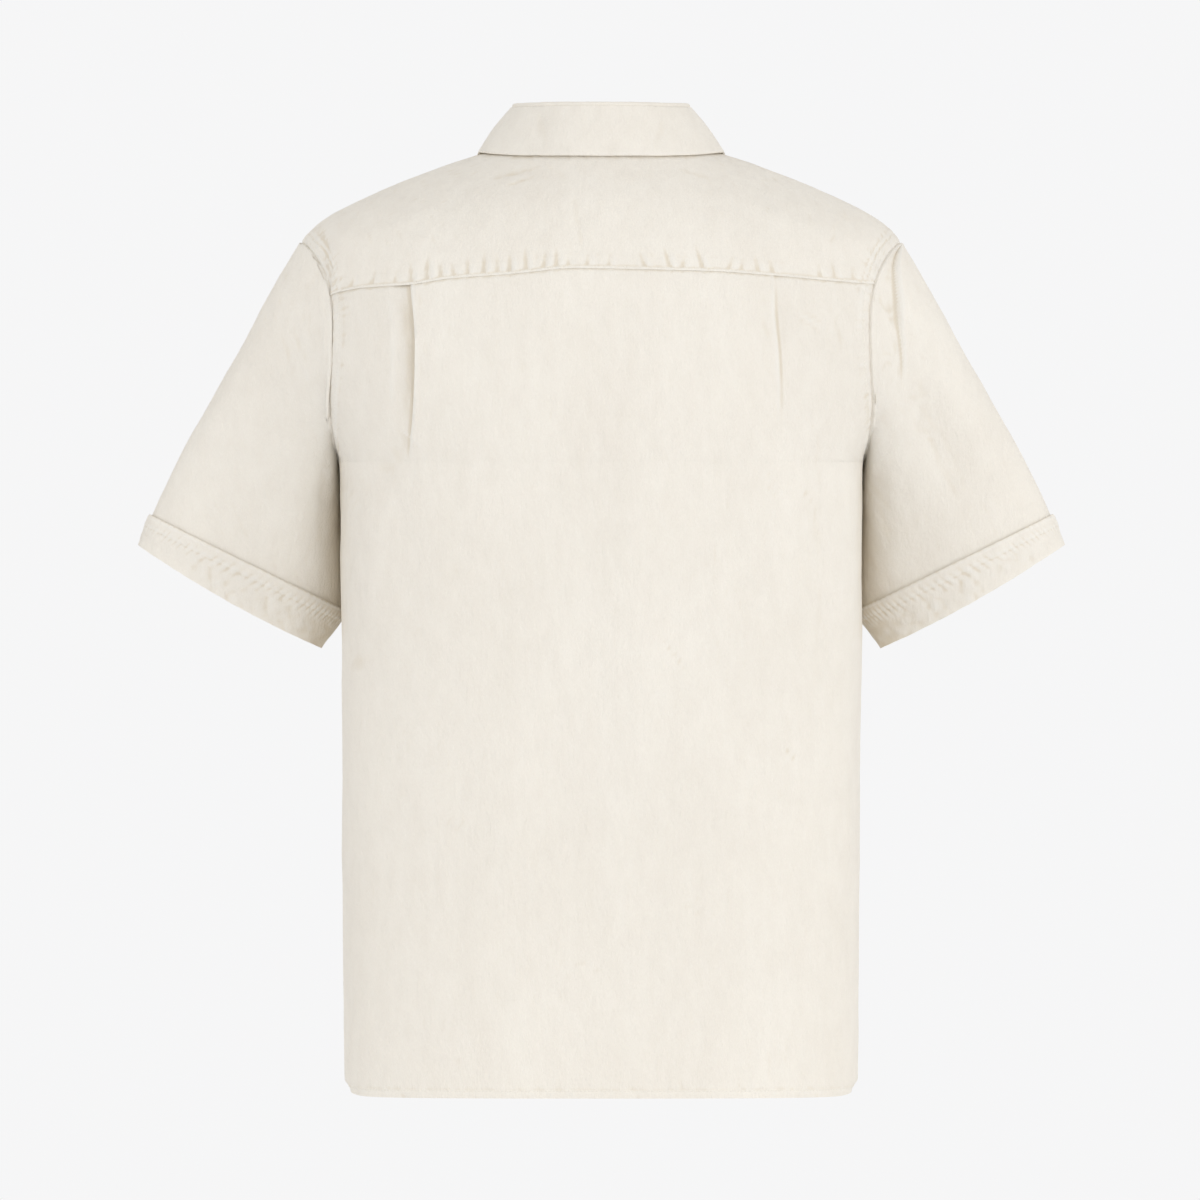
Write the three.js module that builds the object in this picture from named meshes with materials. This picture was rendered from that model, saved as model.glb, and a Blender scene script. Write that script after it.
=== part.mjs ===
// Short-sleeved shirt of oxford cloth, filled out as it is worn, with no wearer in it.
// Millimetres, +Z up. The back of the shirt faces -Y, its buttoned front faces +Y,
// and the wearer's left side is -X. The origin is the middle of the base of the neck,
// between the shoulders that carry the shirt. Every piece of cloth is a thin wall.

import * as THREE from 'three';

// Driving dimensions of the cloth
const clothThick = 1.2;
const seamGap = 0.3;
const linedThick = 1.5;

// The body's rings, each a rounded rectangle or oval. A ring is named by its level, which is its
// height at the back and sides. Its front drops by frontDrop, which makes room for the neck.
const bodyRings = [
  { level: -717, halfWidth: 196.5, back: 108, front: 112, exponent: 2.7, frontDrop: 0 },
  { level: -560, halfWidth: 198, back: 110, front: 114, exponent: 2.7, frontDrop: 0 },
  { level: -400, halfWidth: 199, back: 113, front: 117, exponent: 2.7, frontDrop: 0 },
  { level: -232, halfWidth: 200, back: 119, front: 122, exponent: 2.7, frontDrop: 4 },
  { level: -212, halfWidth: 206, back: 119.5, front: 122, exponent: 2.65, frontDrop: 7 },
  { level: -178, halfWidth: 218.5, back: 120, front: 121, exponent: 2.6, frontDrop: 14 },
  { level: -150, halfWidth: 223.5, back: 120, front: 119, exponent: 2.6, frontDrop: 24 },
  { level: -125, halfWidth: 226.5, back: 119, front: 116, exponent: 2.5, frontDrop: 36 },
  { level: -100, halfWidth: 228, back: 116, front: 111, exponent: 2.35, frontDrop: 48 },
  { level: -80, halfWidth: 230.5, back: 112.5, front: 106, exponent: 2.15, frontDrop: 57 },
  { level: -64, halfWidth: 229, back: 108, front: 100, exponent: 2.0, frontDrop: 64 },
  { level: -54, halfWidth: 222, back: 104.5, front: 96, exponent: 1.9, frontDrop: 68 },
  { level: -43, halfWidth: 208, back: 100, front: 92, exponent: 1.8, frontDrop: 71 },
  { level: -31, halfWidth: 185, back: 94, front: 87, exponent: 1.7, frontDrop: 74 },
  { level: -20, halfWidth: 160, back: 86, front: 82, exponent: 1.65, frontDrop: 76 },
  { level: -10, halfWidth: 136, back: 77, front: 78, exponent: 1.65, frontDrop: 78 },
  { level: 0, halfWidth: 108, back: 68, front: 76, exponent: 1.75, frontDrop: 79.5 },
  { level: 12, halfWidth: 66, back: 58, front: 74, exponent: 2.0, frontDrop: 81 },
];
const frontDropPower = 1.4;
const hemLevel = -717;
const neckLevel = 12;

// Hem: its corners at the side seams are rounded off upwards and in.
const hemCorner = { rise: 9, narrow: 7, halfTurn: 12, height: 16 };

// Armhole: an oval on the body's surface, whose lowest point lies a little forward.
const armhole = { middleLevel: -148, halfHeight: 84, topTurn: 90, bottomTurn: 97, backTurn: 21, frontTurn: 16 };
const armpitLevel = armhole.middleLevel - armhole.halfHeight;
const bodyRadius = 215;

// Side seam: from the hem to the lowest point of the armhole. sideRadius turns its gap into an angle.
const hemSideTurn = 92;
const sideRadius = 200;

// Back yoke seam, as seen from behind: it bows up to the middle and ends lower at the left.
const yokeSeam = [
  { x: -215, level: -109 },
  { x: -200, level: -103 },
  { x: -180, level: -99.5 },
  { x: -145, level: -97.4 },
  { x: -116, level: -93 },
  { x: -70, level: -89.7 },
  { x: -20, level: -85.2 },
  { x: 30, level: -86 },
  { x: 91, level: -87.5 },
  { x: 122, level: -89.7 },
  { x: 168, level: -93.6 },
  { x: 215, level: -97 },
];
const yokeSeamEnd = 215;
const yokeSeamProbe = -95;
const frontYokeSeam = { neckTurn: 115, armholeAngle: -28, turnGap: 0.15, angleGap: 0.25 };

// Side pleats of the back: each hangs from the yoke seam, opens and closes again.
const pleats = [
  { x: -142, top: -97, widest: -140, bottom: -224, depth: 3.6, width: 30 },
  { x: 133, top: -91, widest: -140, bottom: -218, depth: 2.0, width: 24 },
];
const pleatLip = 3.5;
const pleatTopRun = 12;

// Soft folds of the body: a fold runs from one point of the panel to another, and fades at its ends.
const bodyFolds = [
  { face: 'back', x0: -146, z0: -214, x1: -188, z1: -262, width: 13, depth: -2.6 },
  { face: 'back', x0: -170, z0: -236, x1: -176, z1: -380, width: 14, depth: 2.2 },
  { face: 'back', x0: 166, z0: -190, x1: 172, z1: -430, width: 15, depth: -2.6 },
  { face: 'back', x0: 30, z0: -170, x1: 26, z1: -520, width: 26, depth: 2.0 },
  { face: 'back', x0: -60, z0: -420, x1: -95, z1: -690, width: 30, depth: 2.2 },
  { face: 'back', x0: 105, z0: -430, x1: 120, z1: -690, width: 30, depth: 2.0 },
  { face: 'front', x0: -120, z0: -170, x1: -160, z1: -300, width: 18, depth: 2.4 },
  { face: 'front', x0: 125, z0: -170, x1: 158, z1: -310, width: 18, depth: 2.6 },
  { face: 'front', x0: -90, z0: -380, x1: -110, z1: -690, width: 28, depth: 2.2 },
  { face: 'front', x0: 95, z0: -350, x1: 105, z1: -680, width: 28, depth: 2.2 },
];

// Sleeve sections, from the armhole to the hem. The outer and the inner point are measured from the
// middle of the shirt, and the section is sheared, so that its inner side lies forward beside the body.
const sleeveSections = [
  { share: 0.0, outerX: 229, outerZ: -64, innerX: 200, innerZ: -232, halfDepth: 65, outerY: 0, innerY: 26 },
  { share: 0.08, outerX: 237.5, outerZ: -77, innerX: 201, innerZ: -241, halfDepth: 63, outerY: 0, innerY: 31 },
  { share: 0.22, outerX: 256, outerZ: -107, innerX: 200.4, innerZ: -262, halfDepth: 58, outerY: 4, innerY: 37 },
  { share: 0.42, outerX: 277, outerZ: -146, innerX: 199.8, innerZ: -284, halfDepth: 51, outerY: 9, innerY: 42 },
  { share: 0.62, outerX: 299, outerZ: -185, innerX: 199.4, innerZ: -305, halfDepth: 44, outerY: 14, innerY: 45 },
  { share: 0.8, outerX: 320, outerZ: -222, innerX: 199.2, innerZ: -325, halfDepth: 38, outerY: 18, innerY: 47 },
  { share: 1.0, outerX: 344.5, outerZ: -273, innerX: 199.5, innerZ: -345, halfDepth: 31, outerY: 21, innerY: 48 },
  { share: 1.2, outerX: 353.5, outerZ: -296, innerX: 217.5, innerZ: -373, halfDepth: 29, outerY: 22, innerY: 48 },
];
const sleeveExponent = 2.2;
const sleeveCapLift = 3;
const armholeGap = 0.65;
const sleeveCapEnd = 0.03;
const sleeveBlendEnd = 0.3;
const hemBow = { start: 1.0, end: 1.2, down: 3.2, slope: 0.58 };
const cuff = { top: 1.0, bottom: 1.2, thick: 1.4, weltShare: 0.3, weltLift: 0.5, weltEdge: 0.05 };

// Sleeve folds, each along the sleeve at an angle of its section.
const sleeveFolds = [
  { side: -1, angle: 62, share0: 0.05, share1: 0.55, width: 16, depth: -2.4 },
  { side: -1, angle: 105, share0: 0.25, share1: 0.95, width: 18, depth: 2.0 },
  { side: 1, angle: 78, share0: 0.05, share1: 0.75, width: 16, depth: -2.8 },
  { side: 1, angle: 48, share0: 0.3, share1: 0.95, width: 16, depth: 2.0 },
  { side: -1, angle: 285, share0: 0.1, share1: 0.7, width: 18, depth: -2.2 },
  { side: 1, angle: 280, share0: 0.1, share1: 0.7, width: 18, depth: -2.2 },
];

// Fronts: the left front laps over the right, and the placket lies on it.
const lap = 17;
const underlap = { depth: 2.1, ramp: 26 };
const placketThick = 1.0;

// Collar: a stand round the neck, and a fall that folds over it and ends in two points.
const stand = { topLevel: 41, topHalfWidth: 65, topBack: 56, topFront: 68, topDrop: 82, lift: 1.15, frontRadius: 72 };
const standUnderlap = { turn: 135, ramp: 25 };
const fallEdge = [
  { share: 0, topTurn: 0, turn: 0, level: 0 },
  { share: 0.28, topTurn: 48, turn: 48, level: 0.8 },
  { share: 0.52, topTurn: 88, turn: 88, level: 4.2 },
  { share: 0.76, topTurn: 136, turn: 120, level: -8 },
  { share: 1, topTurn: 176, turn: 145, level: -32 },
];
const fallRoll = { rise: 1.8, out: 3.2, bulge: 1.8, inset: 0.9, middle: 0.45, lift: 0.3, fall: 1.4 };
const fallClear = 1.4;
const fallRows = 5;

// Buttons
const button = { radius: 5.5, thick: 2.4, rim: 1.2, dish: 0.6, edge: 0.5, segments: 14 };
const buttonFirst = -138;
const buttonPitch = 88;
const frontButtons = 6;

// Mesh counts and levels
const backLevels = [-717, -713, -709, -703, -680, -620, -560, -500, -440, -390, -340, -300, -262];
const backArmholeRows = 9;
const backBlendLevel = -190;
const outerShares = [0, 0.16, 0.32, 0.48, 0.64, 0.78, 0.89, 0.97];
const centreColumns = 15;
const yokeNeckTurn = 78;
const yokeArmColumns = 7;
const yokeSeamColumns = 26;
const frontLevels = [-717, -713, -709, -703, -680, -620, -560, -500, -440, -380, -320, -272];
const yokeShares = [0, 0.14, 0.3, 0.48, 0.66, 0.84, 1];
const neckColumns = 6;
const frontColumns = yokeShares.length - 1 + neckColumns;
const upperRows = 9;
const armholeSteps = 24;
const armpitGapAngle = 0.6;
const standColumns = 36;
const standRows = 3;
const fallColumns = 40;
const sleeveShares = [0, 0.03, 0.09, 0.17, 0.27, 0.38, 0.5, 0.62, 0.74, 0.86, 1, 1.1, 1.19];
const solveSteps = 40;
const turnStep = 0.2;
const shareStep = 0.004;

const degree = Math.PI / 180;
const clamp = (v, low, high) => Math.min(high, Math.max(low, v));
const mix = (a, b, t) => a + (b - a) * t;
const smooth = (t) => {
  const c = clamp(t, 0, 1);
  return c * c * (3 - 2 * c);
};
const add = (p, q, k = 1) => [p[0] + q[0] * k, p[1] + q[1] * k, p[2] + q[2] * k];
const minus = (p, q) => add(p, q, -1);
const mixPoint = (p, q, t) => [mix(p[0], q[0], t), mix(p[1], q[1], t), mix(p[2], q[2], t)];
const cross = (p, q) => [
  p[1] * q[2] - p[2] * q[1],
  p[2] * q[0] - p[0] * q[2],
  p[0] * q[1] - p[1] * q[0],
];
const unit = (p) => {
  const size = Math.hypot(...p);
  return [p[0] / size, p[1] / size, p[2] / size];
};
const mixSpot = (a, b, t) => ({ level: mix(a.level, b.level, t), turn: mix(a.turn, b.turn, t) });
const range = (low, high, steps) => Array.from({ length: steps + 1 }, (_, i) => mix(low, high, i / steps));

// Value of a column of a table at key, on a smooth curve that never overshoots its rows.
function read(table, keyName, column, key) {
  const last = table.length - 1;
  let i = 0;
  while (i < last - 1 && key > table[i + 1][keyName]) i += 1;
  const slope = (k) => (table[k + 1][column] - table[k][column]) / (table[k + 1][keyName] - table[k][keyName]);
  const tangent = (k) => {
    if (k === 0) return slope(0);
    if (k === last) return slope(last - 1);
    const before = slope(k - 1);
    const after = slope(k);
    return before * after <= 0 ? 0 : (2 * before * after) / (before + after);
  };
  const span = table[i + 1][keyName] - table[i][keyName];
  const t = clamp((key - table[i][keyName]) / span, 0, 1);
  const start = table[i][column] * (1 + 2 * t) * (1 - t) ** 2 + tangent(i) * span * t * (1 - t) ** 2;
  const end = table[i + 1][column] * t * t * (3 - 2 * t) - tangent(i + 1) * span * t * t * (1 - t);
  return start + end;
}

const ring = (column, level) => read(bodyRings, 'level', column, level);

// Point of an oval ring: turn is 0 at the back, 90 at the wearer's right and 180 at the front.
function ovalPoint(turn, halfWidth, back, front, exponent, level, drop) {
  const across = Math.sin(turn * degree);
  const ahead = -Math.cos(turn * degree);
  const depth = ahead < 0 ? back : front;
  const sum = Math.abs(across / halfWidth) ** exponent + Math.abs(ahead / depth) ** exponent;
  const reach = sum ** (-1 / exponent);
  const y = reach * ahead;
  const forward = Math.max(0, y) / front;
  return [reach * across, y, level - drop * forward ** frontDropPower];
}

// Smooth surface of the body, before folds, with its hem corners rounded off.
function bodySurface(level, turn) {
  const corner = Math.exp(-(((Math.abs(turn) - hemSideTurn) / hemCorner.halfTurn) ** 2));
  const near = 1 - smooth((level - hemLevel) / hemCorner.height);
  const narrow = hemCorner.narrow * near * near * corner;
  const halfWidth = ring('halfWidth', level) - narrow;
  const lifted = level + hemCorner.rise * corner * near * near;
  return ovalPoint(turn, halfWidth, ring('back', level), ring('front', level), ring('exponent', level),
    lifted, ring('frontDrop', level));
}

function bodyNormal(level, turn) {
  const along = minus(bodySurface(level, turn + turnStep), bodySurface(level, turn - turnStep));
  const low = Math.max(hemLevel, level - 1);
  const high = Math.min(neckLevel, level + 1);
  return unit(cross(along, minus(bodySurface(high, turn), bodySurface(low, turn))));
}

// Height of a soft fold at a point of the panel, as a ridge or trough along its line.
function foldHeight(fold, x, z) {
  const dx = fold.x1 - fold.x0;
  const dz = fold.z1 - fold.z0;
  const length = Math.hypot(dx, dz);
  const along = ((x - fold.x0) * dx + (z - fold.z0) * dz) / length / length;
  const away = ((x - fold.x0) * dz - (z - fold.z0) * dx) / length;
  const fade = Math.sin(Math.PI * clamp(along, 0, 1)) ** 0.7;
  return fold.depth * fade * Math.exp(-((away / fold.width) ** 2));
}

// Depth of a pleat: a crisp lip on the side of the middle, and a soft slope outwards.
function pleatDepth(pleat, x, z) {
  const outward = (x - pleat.x) * Math.sign(pleat.x);
  if (outward <= 0 || outward >= pleat.width) return 0;
  const above = smooth((pleat.top - z + pleatTopRun) / (pleat.top - pleat.widest));
  const below = smooth((z - pleat.bottom) / (pleat.widest - pleat.bottom));
  const slope = 1 - smooth((outward - pleatLip) / (pleat.width - pleatLip));
  return -pleat.depth * above * below * Math.min(outward / pleatLip, slope);
}

function foldsAt(point) {
  const face = point[1] < 0 ? 'back' : 'front';
  let height = 0;
  for (const fold of bodyFolds) {
    if (fold.face === face) height += foldHeight(fold, point[0], point[2]);
  }
  if (face === 'back') {
    for (const pleat of pleats) height += pleatDepth(pleat, point[0], point[2]);
  }
  return height;
}

// Point of the body's cloth: out is the height above its outer face.
function bodyPoint(level, turn, out) {
  const point = bodySurface(level, turn);
  return add(point, bodyNormal(level, turn), foldsAt(point) + out);
}

// Point of the armhole's oval: angle is 0 at the top, 90 at the back, 180 at the bottom.
function armholeAt(angle, shrink = 0) {
  const rise = Math.cos(angle * degree);
  const swing = Math.sin(angle * degree);
  const width = (swing > 0 ? armhole.backTurn : armhole.frontTurn) - shrink / bodyRadius / degree;
  const middle = mix(armhole.topTurn, armhole.bottomTurn, (1 - rise) / 2);
  return { level: armhole.middleLevel + (armhole.halfHeight - shrink) * rise, turn: middle - width * swing };
}

const sideTurn = (level) => mix(hemSideTurn, armhole.bottomTurn, (level - hemLevel) / (armpitLevel - hemLevel));
const sideGap = seamGap / 2 / sideRadius / degree;

// Level of the yoke seam at a turn of the body.
function yokeSeamLevel(turn) {
  const x = bodySurface(yokeSeamProbe, turn)[0];
  return read(yokeSeam, 'x', 'level', clamp(x, -yokeSeamEnd, yokeSeamEnd));
}

// Angle of the armhole at which the yoke seam meets it, on a side.
function yokeCornerAngle(side) {
  let low = 10;
  let high = 90;
  for (let i = 0; i < solveSteps; i += 1) {
    const middle = (low + high) / 2;
    const at = armholeAt(middle);
    if (at.level > yokeSeamLevel(side * at.turn)) low = middle;
    else high = middle;
  }
  return low;
}

// Closed solid between two equal grids of points. A grid that closes round has no side rims.
function wall(outer, inner, closed) {
  const rows = outer.length;
  const columns = outer[0].length;
  const positions = [...outer.flat(), ...inner.flat()].flat();
  const index = [];
  const id = (face, i, j) => (face * rows + i) * columns + (j % columns);
  const quad = (a, b, c, d) => index.push(a, b, c, a, c, d);
  const spans = closed ? columns : columns - 1;
  for (let j = 0; j < spans; j += 1) {
    for (let i = 0; i < rows - 1; i += 1) {
      quad(id(0, i, j), id(0, i, j + 1), id(0, i + 1, j + 1), id(0, i + 1, j));
      quad(id(1, i, j), id(1, i + 1, j), id(1, i + 1, j + 1), id(1, i, j + 1));
    }
    quad(id(0, 0, j), id(1, 0, j), id(1, 0, j + 1), id(0, 0, j + 1));
    quad(id(0, rows - 1, j), id(0, rows - 1, j + 1), id(1, rows - 1, j + 1), id(1, rows - 1, j));
  }
  for (let i = 0; i < rows - 1 && !closed; i += 1) {
    quad(id(0, i, 0), id(0, i + 1, 0), id(1, i + 1, 0), id(1, i, 0));
    quad(id(0, i, columns - 1), id(1, i, columns - 1), id(1, i + 1, columns - 1), id(0, i + 1, columns - 1));
  }
  return solid(positions, index);
}

// Geometry from points and triangles, turned so that its faces point out.
function solid(positions, index) {
  let volume = 0;
  const at = (k) => positions.slice(3 * k, 3 * k + 3);
  for (let k = 0; k < index.length; k += 3) {
    const [a, b, c] = [at(index[k]), at(index[k + 1]), at(index[k + 2])];
    const turned = cross(b, c);
    volume += a[0] * turned[0] + a[1] * turned[1] + a[2] * turned[2];
  }
  const geometry = new THREE.BufferGeometry();
  geometry.setAttribute('position', new THREE.Float32BufferAttribute(positions, 3));
  geometry.setIndex(volume > 0 ? index : index.toReversed());
  geometry.computeVertexNormals();
  return geometry;
}

// Wall that lies on the body: spots is a grid of { level, turn, out }.
function bodyWall(spots, thick) {
  const face = (drop) => spots.map((row) => row.map((s) => bodyPoint(s.level, s.turn, (s.out ?? 0) - drop)));
  return wall(face(0), face(thick), false);
}

// Back: from the hem to the yoke seam, between the side seams and armholes.
function makeBack() {
  const corners = [-1, 1].map((side) => yokeCornerAngle(side));
  const seamEnds = [-1, 1].map((side, k) => yokeSeamLevel(side * armholeAt(corners[k]).turn));
  const rowEdges = backLevels.map((level) => [-1, 1].map(() => ({ level, turn: sideTurn(level) - sideGap })));
  for (const share of range(0, 1, backArmholeRows)) {
    rowEdges.push(corners.map((corner) => armholeAt(mix(180 - armpitGapAngle, corner, share))));
  }
  const spots = rowEdges.map(([left, right]) => {
    const middle = (left.level + right.level) / 2;
    const [leftPleat, rightPleat] = pleats.map((pleat) => turnAtX(middle, pleat.x));
    const turns = [
      ...outerShares.map((share) => mix(-left.turn, leftPleat, share)),
      ...range(0, 1, centreColumns).map((share) => mix(leftPleat, rightPleat, share)),
      ...outerShares.toReversed().map((share) => mix(right.turn, rightPleat, share)),
    ];
    return turns.map((turn) => {
      const across = (turn + left.turn) / (left.turn + right.turn);
      const flat = mix(left.level, right.level, across);
      const top = mix(seamEnds[0], seamEnds[1], across);
      const rise = clamp((flat - backBlendLevel) / (top - backBlendLevel), 0, 1);
      return { level: flat + rise * (yokeSeamLevel(turn) - seamGap - top), turn };
    });
  });
  return bodyWall(spots, clothThick);
}

// Turn at which the body's ring of a level reaches x, on the back.
function turnAtX(level, x) {
  let low = 0;
  let high = 80;
  for (let i = 0; i < solveSteps; i += 1) {
    const middle = (low + high) / 2;
    if (bodySurface(level, middle)[0] < Math.abs(x)) low = middle;
    else high = middle;
  }
  return low * Math.sign(x);
}

// Turn at which the front of the body's ring of a level lies at x.
const frontTurnAtX = (level, x) => 180 - Math.atan2(x, ring('front', level)) / degree;

// Yoke: a horseshoe round the neck, from the back yoke seam over both shoulders.
function makeYoke() {
  const corners = [-1, 1].map((side) => yokeCornerAngle(side));
  const arms = [-1, 1].map((side, k) => range(0, 1, yokeArmColumns).map((share) => {
    const start = frontYokeSeam.armholeAngle + frontYokeSeam.angleGap;
    const at = armholeAt(mix(start, corners[k], share));
    const neckTurn = mix(frontYokeSeam.neckTurn - frontYokeSeam.turnGap, yokeNeckTurn, share);
    return { neckTurn: side * neckTurn, turn: side * at.turn, level: at.level };
  }));
  const [first, last] = arms.map((arm) => arm[yokeArmColumns].turn);
  const seam = range(0, 1, yokeSeamColumns).slice(1, -1).map((share) => {
    const turn = mix(first, last, share);
    return { neckTurn: mix(-yokeNeckTurn, yokeNeckTurn, share), turn, level: yokeSeamLevel(turn) + seamGap / 2 };
  });
  const columns = [...arms[0], ...seam, ...arms[1].toReversed()];
  const spots = yokeShares.map((share) => columns.map((c) => ({
    level: mix(neckLevel, c.level, share),
    turn: mix(c.neckTurn, c.turn, share),
  })));
  return bodyWall(spots, clothThick);
}

// Turns of a front's columns at a level: even from the side seam to the lap, then over the middle.
function frontTurns(level) {
  const side = sideTurn(level) + sideGap;
  const even = range(0, 1, frontColumns).map((share) => mix(side, frontTurnAtX(level, lap), share));
  return [...even, frontTurnAtX(level, 0), frontTurnAtX(level, -lap)];
}

// Grid of a front: level rows up to the armhole, then a patch between the armhole, the middle,
// and a top edge that runs along the front yoke seam and round the neckline.
function frontGrid() {
  const rows = frontLevels.map((level) => frontTurns(level).map((turn) => ({ level, turn })));
  const low = frontTurns(armpitLevel).map((turn) => ({ level: armpitLevel, turn }));
  const topAngle = 360 + frontYokeSeam.armholeAngle - frontYokeSeam.angleGap;
  const seamStart = armholeAt(topAngle);
  const seamEnd = { level: neckLevel, turn: frontYokeSeam.neckTurn + frontYokeSeam.turnGap };
  const lapSpot = { level: neckLevel, turn: frontTurnAtX(neckLevel, lap) };
  const top = [
    ...yokeShares.toReversed().map((share) => mixSpot(seamEnd, seamStart, share)),
    ...range(0, 1, neckColumns).slice(1).map((share) => mixSpot(seamEnd, lapSpot, share)),
    { level: neckLevel, turn: frontTurnAtX(neckLevel, 0) },
    { level: neckLevel, turn: frontTurnAtX(neckLevel, -lap) },
  ];
  const last = low.length - 1;
  for (const rise of range(0, 1, upperRows)) {
    const edge = armholeAt(mix(180 + armpitGapAngle, topAngle, rise));
    const level = mix(armpitLevel, neckLevel, rise);
    const middle = { level, turn: frontTurnAtX(level, -lap) };
    rows.push(low.map((start, j) => {
      const across = j / last;
      const sides = mixSpot(edge, middle, across);
      const ends = mixSpot(start, top[j], rise);
      const corners = mixSpot(mixSpot(low[0], low[last], across), mixSpot(top[0], top[last], across), rise);
      return { level: sides.level + ends.level - corners.level, turn: sides.turn + ends.turn - corners.turn };
    }));
  }
  return rows;
}

// Front panel of a side. The under front sinks below the over one near the middle.
function makeFront(side, under) {
  const spots = frontGrid().map((row) => row.map(({ level, turn }) => {
    const x = bodySurface(level, turn)[0];
    const sink = under ? underlap.depth * smooth(1 - (x - lap) / underlap.ramp) : 0;
    return { level, turn: side * turn, out: -sink };
  }));
  return bodyWall(spots, clothThick);
}

// Placket: a doubled strip made from the over front's last points, moved out.
function makePlacket() {
  const spots = frontGrid().map((row) => row.slice(-3).map(({ level, turn }) => ({
    level,
    turn: -turn,
    out: seamGap + placketThick,
  })));
  return bodyWall(spots, placketThick);
}

// Point of the collar stand: height is 0 at the neckline and 1 at its top edge.
function standPoint(turn, height, out) {
  const base = add(bodySurface(neckLevel, turn), [0, 0, stand.lift]);
  const top = ovalPoint(turn, stand.topHalfWidth, stand.topBack, stand.topFront, 2, stand.topLevel, stand.topDrop);
  const point = mixPoint(base, top, height);
  const outward = unit([point[0], point[1] * 0.9, 0]);
  return add(point, outward, out);
}

// Stand: it goes once round the neck, and its ends lap at the front as the fronts do.
function makeStand() {
  const lapTurn = Math.atan2(lap, stand.frontRadius) / degree;
  const turns = range(180 + lapTurn, -180 - lapTurn, standColumns);
  const sink = (turn) => underlap.depth * smooth((turn - standUnderlap.turn) / standUnderlap.ramp);
  const row = (height, out) => turns.map((turn) => standPoint(turn, height, out - sink(turn)));
  const grid = (out) => range(0, 1, standRows).map((height) => row(height, out));
  return wall(grid(0), grid(-clothThick), false);
}

// Point of the collar fall: share runs from -1 to 1 round the collar. Rows 0 to 2 roll over the stand,
// and the others hang from the roll to the edge.
function fallPoint(share, row, out) {
  const side = Math.sign(share) || 1;
  const at = (column) => read(fallEdge, 'share', column, Math.abs(share));
  const top = standPoint(side * at('topTurn'), 1, 0);
  const edge = bodyPoint(at('level'), side * at('turn'), fallClear + linedThick);
  const level = unit([edge[0] - top[0] * 0.5, edge[1] - top[1] * 0.5, 0]);
  const roll = [
    add(add(top, level, -fallRoll.inset), [0, 0, 2 * seamGap + linedThick]),
    add(add(top, level, fallRoll.out * fallRoll.middle), [0, 0, fallRoll.rise + fallRoll.lift]),
    add(add(top, level, fallRoll.out), [0, 0, fallRoll.rise - fallRoll.fall]),
  ];
  const inward = [[0, 0, -1], unit(add([0, 0, -1.6], level, -1)), unit(add([0, 0, -0.5], level, -1))];
  if (row < 3) return add(roll[row], inward[row], -out);
  const t = (row - 2) / fallRows;
  const line = minus(edge, roll[2]);
  const around = unit([-level[1], level[0], 0]);
  const normal = unit(cross(around, line));
  const facing = normal[0] * level[0] + normal[1] * level[1] < 0 ? -1 : 1;
  const point = mixPoint(roll[2], edge, t);
  return add(point, normal, facing * (out + fallRoll.bulge * Math.sin(Math.PI * t)));
}
function makeFall() {
  const shares = range(-1, 1, fallColumns);
  const rows = Array.from({ length: 3 + fallRows }, (_, i) => i);
  const grid = (out) => rows.map((row) => shares.map((share) => fallPoint(share, row, out)));
  return wall(grid(0), grid(-linedThick), false);
}

const curl = (v, exponent) => Math.sign(v) * Math.abs(v) ** (2 / exponent);

// Smooth surface of a sleeve: share runs from 0 at the armhole to 1.2 at the hem.
function sleeveSurface(side, share, angle) {
  const at = (column) => read(sleeveSections, 'share', column, share);
  const rise = Math.cos(angle * degree);
  const swing = Math.sin(angle * degree);
  const outer = [at('outerX'), at('outerZ')];
  const inner = [at('innerX'), at('innerZ')];
  const t = (1 + curl(rise, sleeveExponent)) / 2;
  const y = mix(at('innerY'), at('outerY'), t) - at('halfDepth') * curl(swing, sleeveExponent);
  const bow = 4 * t * (1 - t) * hemBow.down * smooth((share - hemBow.start) / (hemBow.end - hemBow.start));
  const across = mix(inner[0], outer[0], t) + bow * hemBow.slope;
  const section = [side * across, y, mix(inner[1], outer[1], t) - bow];
  if (share >= sleeveBlendEnd) return section;
  const hole = armholeAt(angle, armholeGap);
  const normal = bodyNormal(hole.level, side * hole.turn);
  const start = bodySurface(hole.level, side * hole.turn);
  const lifted = add(start, normal, sleeveCapLift * smooth(share / sleeveCapEnd));
  return mixPoint(lifted, section, smooth(share / sleeveBlendEnd));
}

function sleeveNormal(side, share, angle) {
  const low = Math.max(0, share - shareStep);
  const high = Math.min(cuff.bottom, share + shareStep);
  const down = minus(sleeveSurface(side, high, angle), sleeveSurface(side, low, angle));
  const around = minus(sleeveSurface(side, share, angle + 0.5), sleeveSurface(side, share, angle - 0.5));
  const normal = unit(cross(around, down));
  return side > 0 ? normal : [-normal[0], -normal[1], -normal[2]];
}

function sleeveFoldAt(side, share, angle) {
  let height = 0;
  for (const fold of sleeveFolds) {
    if (fold.side !== side || share < fold.share0 || share > fold.share1) continue;
    const fade = Math.sin((Math.PI * (share - fold.share0)) / (fold.share1 - fold.share0));
    height += fold.depth * fade * Math.exp(-(((angle - fold.angle) / fold.width) ** 2));
  }
  return height;
}

function sleevePoint(side, share, angle, out) {
  const height = sleeveFoldAt(side, share, angle) + out;
  return add(sleeveSurface(side, share, angle), sleeveNormal(side, share, angle), height);
}

function sleeveWall(side, shares, outAt, thick) {
  const angles = range(0, 360, armholeSteps).slice(0, -1);
  const row = (share, drop) => angles.map((angle) => sleevePoint(side, share, angle, outAt(share) - drop));
  const grid = (drop) => shares.map((share) => row(share, drop));
  return wall(grid(0), grid(thick), true);
}

const makeSleeve = (side) => sleeveWall(side, sleeveShares, () => 0, clothThick);

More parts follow.
